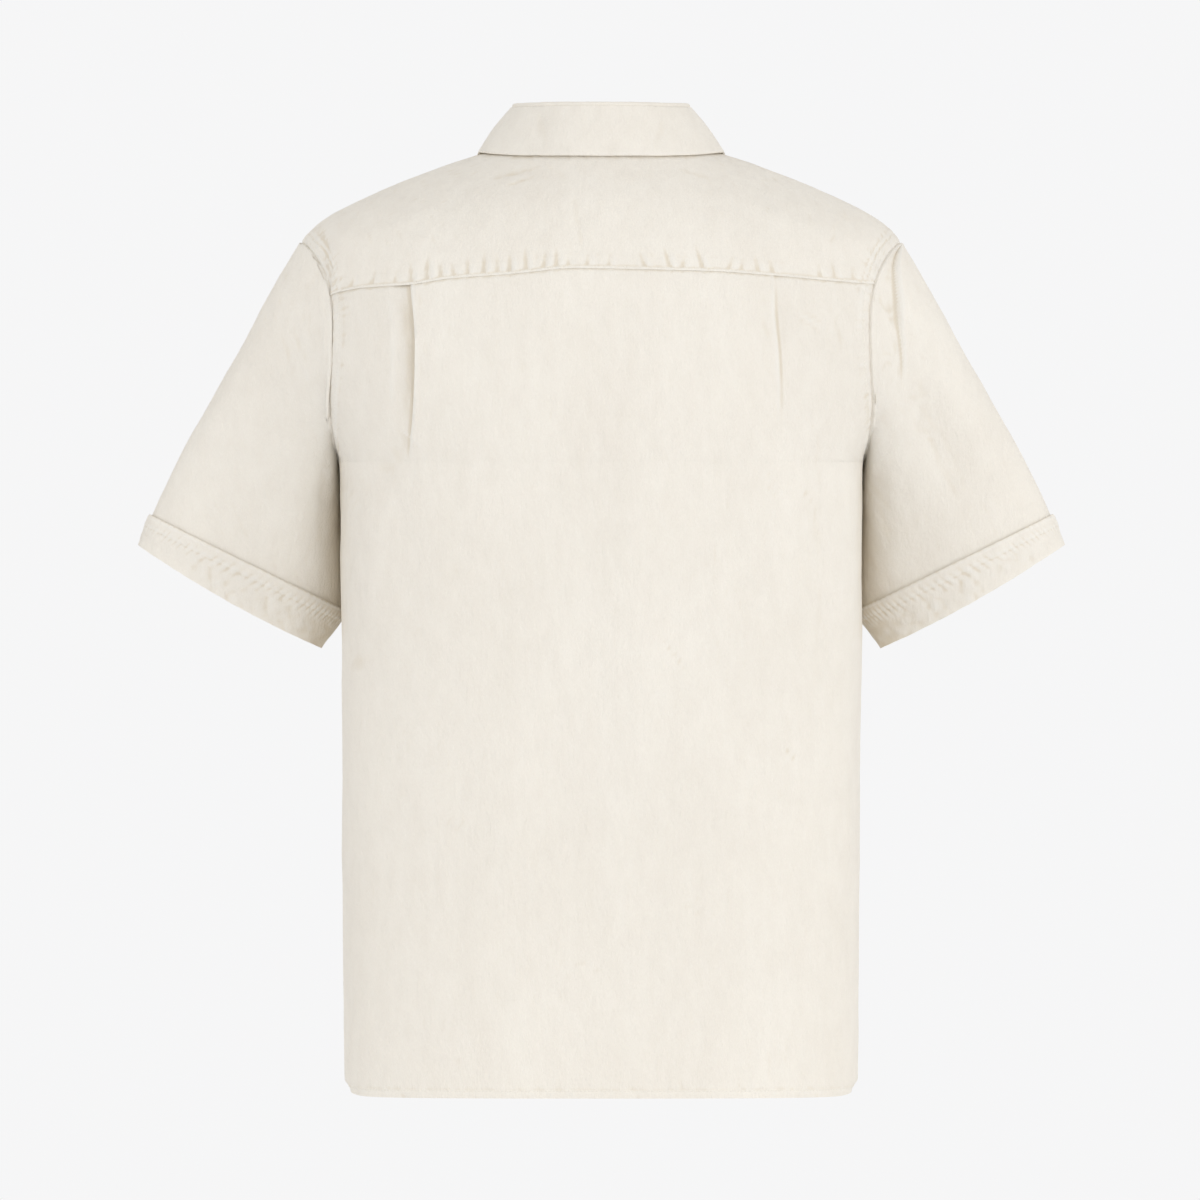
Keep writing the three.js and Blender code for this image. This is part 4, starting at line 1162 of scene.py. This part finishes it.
# %% Lay a row of stitches
def add_stitches(name, line, normals, pitch=STITCH_PITCH):
    """Stitches along a line of points, each turned to lie on the cloth."""
    steps = np.linalg.norm(np.diff(line, axis=0), axis=-1)
    length = np.concatenate([[0], np.cumsum(steps)])
    count = max(2, int(length[-1] / pitch))
    middles = (np.arange(count) + 0.5) * length[-1] / count

    def at(values, where):
        return np.stack([np.interp(where, length, values[:, k]) for k in range(3)], axis=-1)

    place = at(line, middles)
    along = unit(at(line, middles + 0.5) - at(line, middles - 0.5))
    normal = unit(at(normals, middles))
    across = unit(np.cross(normal, along))
    shape, faces = stitch_shape()
    points, quads = [], []
    for k in range(count):
        turned = shape[:, :1] * along[k] + shape[:, 1:2] * across[k] + shape[:, 2:] * normal[k]
        points.append(turned + place[k])
        quads += [tuple(14 * k + i for i in face) for face in faces]
    mesh = bpy.data.meshes.new(name)
    mesh.from_pydata((np.concatenate(points) * MM).tolist(), [], quads)
    mesh.polygons.foreach_set("use_smooth", [True] * len(mesh.polygons))
    shirt[name] = place_new(name, mesh)
    print(f"{name}: {count} stitches over {length[-1]:.0f} mm")


def stitch_on_body(name, level, turn, height, out=0.0, pitch=STITCH_PITCH):
    level, turn = np.broadcast_arrays(np.asarray(level, float), np.asarray(turn, float))
    line = body_grid(level, turn, height, out + STITCH_RADIUS * 0.4)
    add_stitches(name, line, body_normal(level, turn), pitch)

# %% [markdown]
# The rows are those of a plain shirt: close beside the yoke seam, round each armhole, along the hem,
# the cuffs and both sides of the placket.

# %% Sew the seams
seam_turns = np.linspace(-armhole(CORNERS[-1])[1] + 1, armhole(CORNERS[1])[1] - 1, 500)
stitch_on_body("stitch_yoke", yoke_seam_level(seam_turns) + EDGE_STITCH, seam_turns, yoke_height)
hem_turns = np.linspace(-HEM_SIDE_TURN + 1, HEM_SIDE_TURN - 1, 600)
stitch_on_body("stitch_hem_back", HEM_LEVEL + HEM_STITCH, hem_turns, back_height)
hem_front = np.linspace(HEM_SIDE_TURN + 1, 173, 400)
stitch_on_body("stitch_hem_left", HEM_LEVEL + HEM_STITCH, -hem_front, front_height)
stitch_on_body("stitch_hem_right", HEM_LEVEL + HEM_STITCH, hem_front, under_front_height)
for side, word in ((-1, "left"), (1, "right")):
    for part, start, end, height in (
        ("yoke", -26, CORNERS[side] - 1.5, yoke_height),
        ("back", CORNERS[side] + 1.5, 172, back_height),
        ("front", 188, 330, front_height),
    ):
        level, turn = armhole(np.linspace(start, end, 300), -ARM_STITCH_OUT)
        stitch_on_body(f"stitch_armhole_{part}_{word}", level, side * turn, height)
    seam_share = np.linspace(0.03, 0.95, 200)
    arm_level, arm_turn = armhole(360 + FRONT_SEAM_ARM)
    seam_level = mix(NECK_LEVEL, arm_level, seam_share)
    seam_turn = mix(FRONT_SEAM_NECK, arm_turn, seam_share)
    behind = np.degrees(EDGE_STITCH / mix(NECK_REACH, ARM_REACH, seam_share))
    stitch_on_body(f"stitch_front_yoke_{word}", seam_level, side * (seam_turn - behind), yoke_height)
    share = np.full(400, mix(CUFF_TOP, CUFF_BOTTOM, WELT_SHARE))
    angle = np.linspace(0, 360, 400)
    line = sleeve_points(side, share, angle, cuff_height)
    normals = sleeve_normal(side, share, angle)
    add_stitches(f"stitch_cuff_{word}", line + normals * STITCH_RADIUS * 0.5, normals)
placket_levels = np.linspace(HEM_LEVEL + 2, NECK_LEVEL - 4, 900)
for side, word in ((-1, "under_edge"), (1, "over_edge")):
    turn = -front_turn_at_x(placket_levels, -side * (LAP - STITCH_IN))
    stitch_on_body(f"stitch_placket_{word}", placket_levels, turn, placket_height, SEAM_GAP + PLACKET_THICK)
print("rows of stitches:", sum(name.startswith("stitch") for name in shirt))

# %% [markdown]
# A buttonhole is a narrow loop of close stitches. The front drops below the back's rings, so the level
# of each is found by a few rounds of correction from the height that is wanted.

# %% Sew the buttonholes
def button_level(number):
    """Level of a front button, whose height is given on the dropped front."""
    height = BUTTON_FIRST - number * BUTTON_PITCH
    level = height
    for _ in range(40):
        level = height + float(RINGS["drop"](np.array(level)))
    return level


loop = np.linspace(0, 360, 60)
for number in range(FRONT_BUTTONS):
    middle = button_level(number)
    level = middle + HOLE_HALF * np.cos(np.radians(loop))
    turn = 180 + np.degrees(HOLE_WIDE * np.sin(np.radians(loop)) / RINGS["front"](level))
    name = f"stitch_buttonhole_{number + 2}"
    stitch_on_body(name, level, turn, placket_height, SEAM_GAP + PLACKET_THICK, HOLE_PITCH)

# %% [markdown]
# The buttons are small discs of shell-like resin with a raised rim and four holes, sewn on with a
# cross of thread. One button is modelled from a cylinder: its top is inset and pushed in for the
# dish, and its edge is bevelled. It is then copied to each place, with a mesh of its own.

# %% The buttons
BUTTON_RADIUS, BUTTON_THICK, BUTTON_RIM, BUTTON_DISH = 5.5, 2.4, 1.2, 0.6
HOLE_RADIUS, HOLE_OUT = 0.75, 1.25


def select_top(obj):
    bpy.ops.object.mode_set(mode="EDIT")
    bpy.ops.mesh.select_mode(type="FACE")
    bpy.ops.mesh.select_all(action="DESELECT")
    bpy.ops.object.mode_set(mode="OBJECT")
    for face in obj.data.polygons:
        face.select = face.normal.z > 0.9
    bpy.ops.object.mode_set(mode="EDIT")


def model_button():
    clear_selection()
    thick = BUTTON_THICK * MM
    bpy.ops.mesh.primitive_cylinder_add(
        vertices=40, radius=BUTTON_RADIUS * MM, depth=thick, location=(0, 0, thick / 2)
    )
    obj = bpy.context.object
    bpy.ops.object.transform_apply(location=True, rotation=False, scale=False)
    select_top(obj)
    bpy.ops.mesh.inset(thickness=BUTTON_RIM * MM, depth=0)
    bpy.ops.mesh.inset(thickness=0.45 * MM, depth=-BUTTON_DISH * MM)
    bpy.ops.object.mode_set(mode="OBJECT")
    bevel = obj.modifiers.new("edge", "BEVEL")
    bevel.width, bevel.segments, bevel.limit_method = 0.35 * MM, 3, "ANGLE"
    bpy.ops.object.modifier_apply(modifier=bevel.name)
    for k in range(4):
        angle = math.pi / 4 + k * math.pi / 2
        spot = Vector((math.cos(angle), math.sin(angle), 0)) * HOLE_OUT * math.sqrt(2) * MM
        clear_selection()
        bpy.ops.mesh.primitive_cylinder_add(
            vertices=16, radius=HOLE_RADIUS * MM, depth=4 * thick, location=(spot.x, spot.y, thick / 2)
        )
        drill = bpy.context.object
        hole = obj.modifiers.new("hole", "BOOLEAN")
        hole.operation, hole.object, hole.solver = "DIFFERENCE", drill, "EXACT"
        make_active(obj)
        bpy.ops.object.modifier_apply(modifier=hole.name)
        bpy.data.objects.remove(drill, do_unlink=True)
    bpy.ops.object.shade_smooth_by_angle(angle=math.radians(35))
    return obj


print("button:", 2 * BUTTON_RADIUS, "mm across")

# %% [markdown]
# The thread is four short strands, two for each pair of holes, that bend up over the button and down
# into it. A curve with a bevel is the quickest round strand, and it is converted to a mesh.

# %% The thread of a button
STRAND_RADIUS = 0.22


def model_thread():
    """Two crossed strands over the button's holes."""
    strands = []
    reach = HOLE_OUT * math.sqrt(2)
    for turn in (math.pi / 4, -math.pi / 4):
        for shift in (-STRAND_RADIUS, STRAND_RADIUS):
            steps = np.linspace(-1, 1, 9)
            along = steps * reach
            height = BUTTON_THICK - BUTTON_DISH + 0.42 * np.sqrt(np.maximum(0, 1 - steps**4)) - 0.35
            c, s = math.cos(turn), math.sin(turn)
            strands.append(np.stack([along * c - shift * s, along * s + shift * c, height], axis=-1))
    data = bpy.data.curves.new("thread", "CURVE")
    data.dimensions = "3D"
    data.bevel_depth, data.bevel_resolution, data.use_fill_caps = STRAND_RADIUS * MM, 1, True
    for path in strands:
        spline = data.splines.new("POLY")
        spline.points.add(len(path) - 1)
        spline.points.foreach_set("co", np.hstack([path * MM, np.ones((len(path), 1))]).ravel())
    make_active(place_new("thread", data))
    bpy.ops.object.convert(target="MESH")
    return bpy.context.object


print("strands of thread are", 2 * STRAND_RADIUS, "mm thick")

# %% [markdown]
# The first two buttons lean back with the collar and the chest, and the others stand upright. Each
# copy is moved by its own mesh, so its object stays at the origin, as the frame's nodes do.

# %% Sew on the buttons
button_model, thread_model = model_button(), model_thread()
BUTTON_TILTS = {1: 0.2, 2: 0.46}
for number in range(1, 8):
    node = f"button_{number}"
    centre = sum(np.array(v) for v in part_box(node)) / 2
    tilt = BUTTON_TILTS.get(number, 0.0)
    facing = Vector((0, math.cos(tilt), math.sin(tilt)))
    seat = Vector(centre) - facing * (BUTTON_THICK * MM / 2)
    turn_to = facing.to_track_quat("Z", "Y").to_matrix().to_4x4()
    for model, name in ((button_model, f"{node}_shell"), (thread_model, f"{node}_thread")):
        shirt[name] = place_new(name, model.data.copy())
        shirt[name].data.transform(Matrix.Translation(seat) @ turn_to)
for model in (button_model, thread_model):
    bpy.data.objects.remove(model, do_unlink=True)
print("buttons and threads:", sum(n.startswith("button") for n in shirt))

# %% [markdown]
# Shader sums read best as plain sums, so a small class wraps a socket, and its operators add Math
# nodes. Any other node comes from one method that takes its type, its settings and its inputs.

# %% A small language for materials
class Wire:
    """A number or colour that flows from one node to the next."""

    def __init__(self, nodes, socket):
        self.nodes, self.socket = nodes, socket

    def _math(self, operation, *values):
        return self.nodes.make("ShaderNodeMath", {"operation": operation}, *values)

    def __add__(self, other):
        return self._math("ADD", self, other)

    def __mul__(self, other):
        return self._math("MULTIPLY", self, other)

    def __sub__(self, other):
        return self._math("SUBTRACT", self, other)

    def __rsub__(self, other):
        return self._math("SUBTRACT", other, self)

    __radd__, __rmul__ = __add__, __mul__

    def wave(self):
        return self._math("SINE", self)


sums = [name for name in vars(Wire) if name[-5:] in ("add__", "sub__", "mul__")]
print("sums that a wire understands:", sums)

# %% [markdown]
# A second class holds the nodes of one material. It makes a node, plugs numbers or wires into it and
# hands back a wire, so a material reads from top to bottom like a recipe.

# %% Nodes of a material
class Nodes:
    """The nodes of one material."""

    def __init__(self, name):
        self.material = bpy.data.materials.new(name)
        self.material.use_nodes = True
        self.tree = self.material.node_tree
        self.shader = self.tree.nodes["Principled BSDF"]

    def make(self, kind, settings, *values, output=0, **named):
        node = self.tree.nodes.new(kind)
        for key, value in settings.items():
            setattr(node, key, value)
        for key, value in [*enumerate(values), *named.items()]:
            if value is not None:
                self.plug(node.inputs[key], value)
        return Wire(self, node.outputs[output])

    def plug(self, socket, value):
        if isinstance(value, Wire):
            self.tree.links.new(value.socket, socket)
        else:
            socket.default_value = value

    def set(self, **values):
        for key, value in values.items():
            self.plug(self.shader.inputs[key.replace("_", " ")], value)

    def noise(self, where, scale, detail=2.0, roughness=0.5):
        inputs = {"Vector": where, "Scale": scale, "Detail": detail, "Roughness": roughness}
        return self.make("ShaderNodeTexNoise", {}, **inputs)

    def blend(self, factor, first, second):
        node = self.tree.nodes.new("ShaderNodeMix")
        node.data_type = "RGBA"
        self.plug(node.inputs[0], factor)
        self.plug(node.inputs[6], first)
        self.plug(node.inputs[7], second)
        return Wire(self, node.outputs[2])


print("a material is made with:", [name for name in vars(Nodes) if not name.startswith("_")])

# %% [markdown]
# Oxford cloth is a basket weave: pairs of fine warp threads cross a thicker weft. Unbleached cotton
# is a warm off-white with faint flecks, and it isn't shiny at all: light only brushes its fibres.
# The weave is two crossed waves along the cloth's own UV map, and finer crumples than the mesh can
# hold come from two noises on Object coordinates. All of them only tilt the normal and tint the
# colour a little. Grooves get a painted shade, warmer and darker, ridges a painted highlight,
# and some light comes through.

# %% The cloth's material
CLOTH_LIGHT = (0.950, 0.918, 0.852, 1)
CLOTH_DARK = (0.860, 0.815, 0.742, 1)
# Painted shade for grooves and covered cloth, and a painted highlight for ridges.
PAINTED_GROOVE_SHADE = (0.76, 0.68, 0.55, 1)
PAINTED_RIDGE_HIGHLIGHT = (0.93, 0.91, 0.86, 1)
THROUGH, THROUGH_SHARE = (0.92, 0.87, 0.76, 1), 0.2
THREAD_PITCH = 0.62


def cloth_material(name, light, dark):
    nodes = Nodes(name)
    uv = nodes.make("ShaderNodeUVMap", {"uv_map": "weave"})
    place = nodes.make("ShaderNodeTexCoord", {}, output=3)
    u = nodes.make("ShaderNodeSeparateXYZ", {}, uv)
    v = Wire(nodes, u.socket.node.outputs[1])
    turns = 2 * math.pi / (THREAD_PITCH * MM)
    warp = (u * turns).wave() * (v * (turns / 2)).wave()
    weft = (v * turns).wave() * 0.5
    weave = (warp + weft) * 0.5
    drawn = nodes.make("ShaderNodeVectorMath", {"operation": "MULTIPLY"}, place, (1.0, 1.0, 0.42))
    fine = nodes.noise(drawn, 430.0, 4.0, 0.62)
    lumps = nodes.noise(drawn, 110.0, 3.0, 0.55)
    fleck = nodes.noise(drawn, 1300.0, 2.0, 0.5)
    broad = nodes.noise(drawn, 14.0, 3.0, 0.5)
    tint = (broad * 0.35 + lumps * 0.3 + fleck * 0.35 - 0.32) * 2.5
    painted_light_value = nodes.make("ShaderNodeAttribute", {"attribute_name": "wear"}, output=2)
    colour = nodes.blend(tint, light, dark)
    # Painted light from the per-vertex number: shade where it is low, highlight where it is high.
    colour = nodes.blend((0.44 - painted_light_value) * 1.5, colour, PAINTED_GROOVE_SHADE)
    colour = nodes.blend((painted_light_value - 0.58) * 1.6, colour, PAINTED_RIDGE_HIGHLIGHT)
    height = weave * 0.07 + fine * 0.7 + lumps * 1.25
    bump = nodes.make("ShaderNodeBump", {}, Strength=1.0, Distance=MM * 0.9, Height=height)
    nodes.set(Base_Color=colour, Roughness=0.94, Normal=bump, Sheen_Weight=0.12, Sheen_Roughness=0.6)
    nodes.shader.inputs["Specular IOR Level"].default_value = 0.18
    through = nodes.make("ShaderNodeBsdfTranslucent", {}, Color=THROUGH, Normal=bump)
    front = Wire(nodes, nodes.shader.outputs[0])
    mixed = nodes.make("ShaderNodeMixShader", {}, THROUGH_SHARE, front, through)
    nodes.plug(nodes.tree.nodes["Material Output"].inputs["Surface"], mixed)
    return nodes.material


cloth = cloth_material("oxford_cloth", CLOTH_LIGHT, CLOTH_DARK)
print("nodes of the cloth:", len(cloth.node_tree.nodes))

# %% [markdown]
# Thread and button need much less: two tones, a fine grain and a roughness. The button is a shell-like
# resin with a thin clear coat.

# %% Thread, resin and floor
def plain_material(name, light, dark, scale, roughness, bump_height):
    nodes = Nodes(name)
    place = nodes.make("ShaderNodeTexCoord", {}, output=3)
    grain = nodes.noise(place, scale, 3.0, 0.6)
    colour = nodes.blend(grain, light, dark)
    bump = nodes.make("ShaderNodeBump", {}, Strength=0.6, Distance=bump_height * MM, Height=grain)
    nodes.set(Base_Color=colour, Roughness=roughness, Normal=bump)
    return nodes.material


thread = plain_material("cotton_thread", (0.88, 0.85, 0.78, 1), (0.80, 0.765, 0.685, 1), 2600, 0.85, 0.08)
resin = plain_material("shell_resin", (0.80, 0.77, 0.70, 1), (0.66, 0.61, 0.52, 1), 240, 0.28, 0.02)
resin.node_tree.nodes["Principled BSDF"].inputs["Coat Weight"].default_value = 0.25
print("materials:", cloth.name, thread.name, resin.name)

# %% [markdown]
# Every piece now gets its finish, rides on the one body of the shirt, and stands for the solid that
# it dresses.


def finish_piece(obj, material):
    obj.data.materials.clear()
    obj.data.materials.append(material)
    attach(obj, "root")


for name, obj in shirt.items():
    if name.endswith("_cloth"):
        node = name[: -len("_cloth")]
        finish_piece(obj, cloth)
        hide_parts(node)
    elif name.endswith("_shell"):
        finish_piece(obj, resin)
        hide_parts(name[: -len("_shell")])
    else:
        finish_piece(obj, thread)
print("pieces dressed:", len(shirt))

# %% [markdown]
# The shirt hangs at the height where a wearer would carry it, over a plain pale floor. White light
# comes evenly from all round, and three broad lamps add to it: two from behind on the right side of
# the picture and a weaker one from its left. The camera looks level at the middle of the back through
# a very long lens, as for a catalogue picture.

# %% Light, floor and camera
WEARER_NECK_HEIGHT, FLOOR_RADIUS = 1.45, 5.0
PICTURE_WIDTH = 0.9204
PICTURE_CENTRE = (-0.0008, -0.3375)
CAMERA_AWAY, SENSOR = 14.0, 36.0
ROOM_LIGHT, ROOM_COLOUR = 0.885, (1.0, 0.995, 0.99, 1)
LAMP_SIZE = 1.6
BACKDROP = (0.922, 0.922, 0.926, 1)


def add_floor():
    clear_selection()
    low = (0, 0, -WEARER_NECK_HEIGHT)
    bpy.ops.mesh.primitive_circle_add(vertices=96, radius=FLOOR_RADIUS, fill_type="NGON", location=low)
    floor = bpy.context.object
    floor.name = "floor"
    bpy.ops.object.transform_apply(location=True)
    pale = plain_material("pale_floor", (0.87, 0.87, 0.875, 1), (0.85, 0.85, 0.855, 1), 4, 0.8, 0.1)
    floor.data.materials.append(pale)


def add_lamp(name, place, target, power):
    lamp = bpy.data.lights.new(name, "AREA")
    lamp.shape, lamp.size, lamp.energy = "DISK", LAMP_SIZE, power
    obj = place_new(name, lamp)
    obj.location = place
    obj.rotation_euler = (Vector(target) - Vector(place)).to_track_quat("-Z", "Y").to_euler()


print("picture width in metres:", PICTURE_WIDTH)

# %% [markdown]
# The backdrop has to be one pale tone from edge to edge, and the light that falls on the cloth needs a
# strength of its own, a little lower. The world therefore shows the camera a plain colour and lights
# the scene with another. The three lamps add the shading, and they are weak, so that it stays soft.

# %% The room's light
def light_room():
    """Even light from all round, and a plain backdrop that only the camera sees."""
    world = bpy.data.worlds.new("studio")
    world.use_nodes = True
    tree = world.node_tree
    around = tree.nodes["Background"]
    around.inputs["Color"].default_value = ROOM_COLOUR
    around.inputs["Strength"].default_value = ROOM_LIGHT
    behind = tree.nodes.new("ShaderNodeBackground")
    behind.inputs["Color"].default_value = BACKDROP
    rays = tree.nodes.new("ShaderNodeLightPath")
    either = tree.nodes.new("ShaderNodeMixShader")
    tree.links.new(rays.outputs["Is Camera Ray"], either.inputs[0])
    tree.links.new(around.outputs[0], either.inputs[1])
    tree.links.new(behind.outputs[0], either.inputs[2])
    tree.links.new(either.outputs[0], tree.nodes["World Output"].inputs["Surface"])
    bpy.context.scene.world = world


print("strength of the room:", ROOM_LIGHT)

# %% [markdown]
# The photograph has no perspective that can be seen, so the camera stands 14 m off with a very long
# lens. Its width at the shirt is what sets the shirt's size in the picture.

# %% The camera, and all of it placed
def place_camera():
    camera = bpy.data.cameras.new("camera")
    camera.sensor_width = SENSOR
    camera.lens = SENSOR * CAMERA_AWAY / PICTURE_WIDTH
    camera.clip_end = 100
    eye = place_new("camera", camera)
    eye.location = (PICTURE_CENTRE[0], -CAMERA_AWAY, PICTURE_CENTRE[1])
    eye.rotation_euler = (math.radians(90), 0, 0)
    bpy.context.scene.camera = eye


add_floor()
add_lamp("key", (1.9, -4.2, 0.35), (0, 0, -0.35), 31)
add_lamp("right", (4.0, -2.2, 0.2), (0, 0, -0.35), 30)
add_lamp("left", (-3.8, -2.7, -0.2), (0, 0, -0.4), 25)
light_room()
bpy.context.scene.view_settings.view_transform = "Standard"
place_camera()
print("lamps:", len(bpy.data.lights), "camera lens in mm:", round(bpy.context.scene.camera.data.lens, 1))

# %% [markdown]
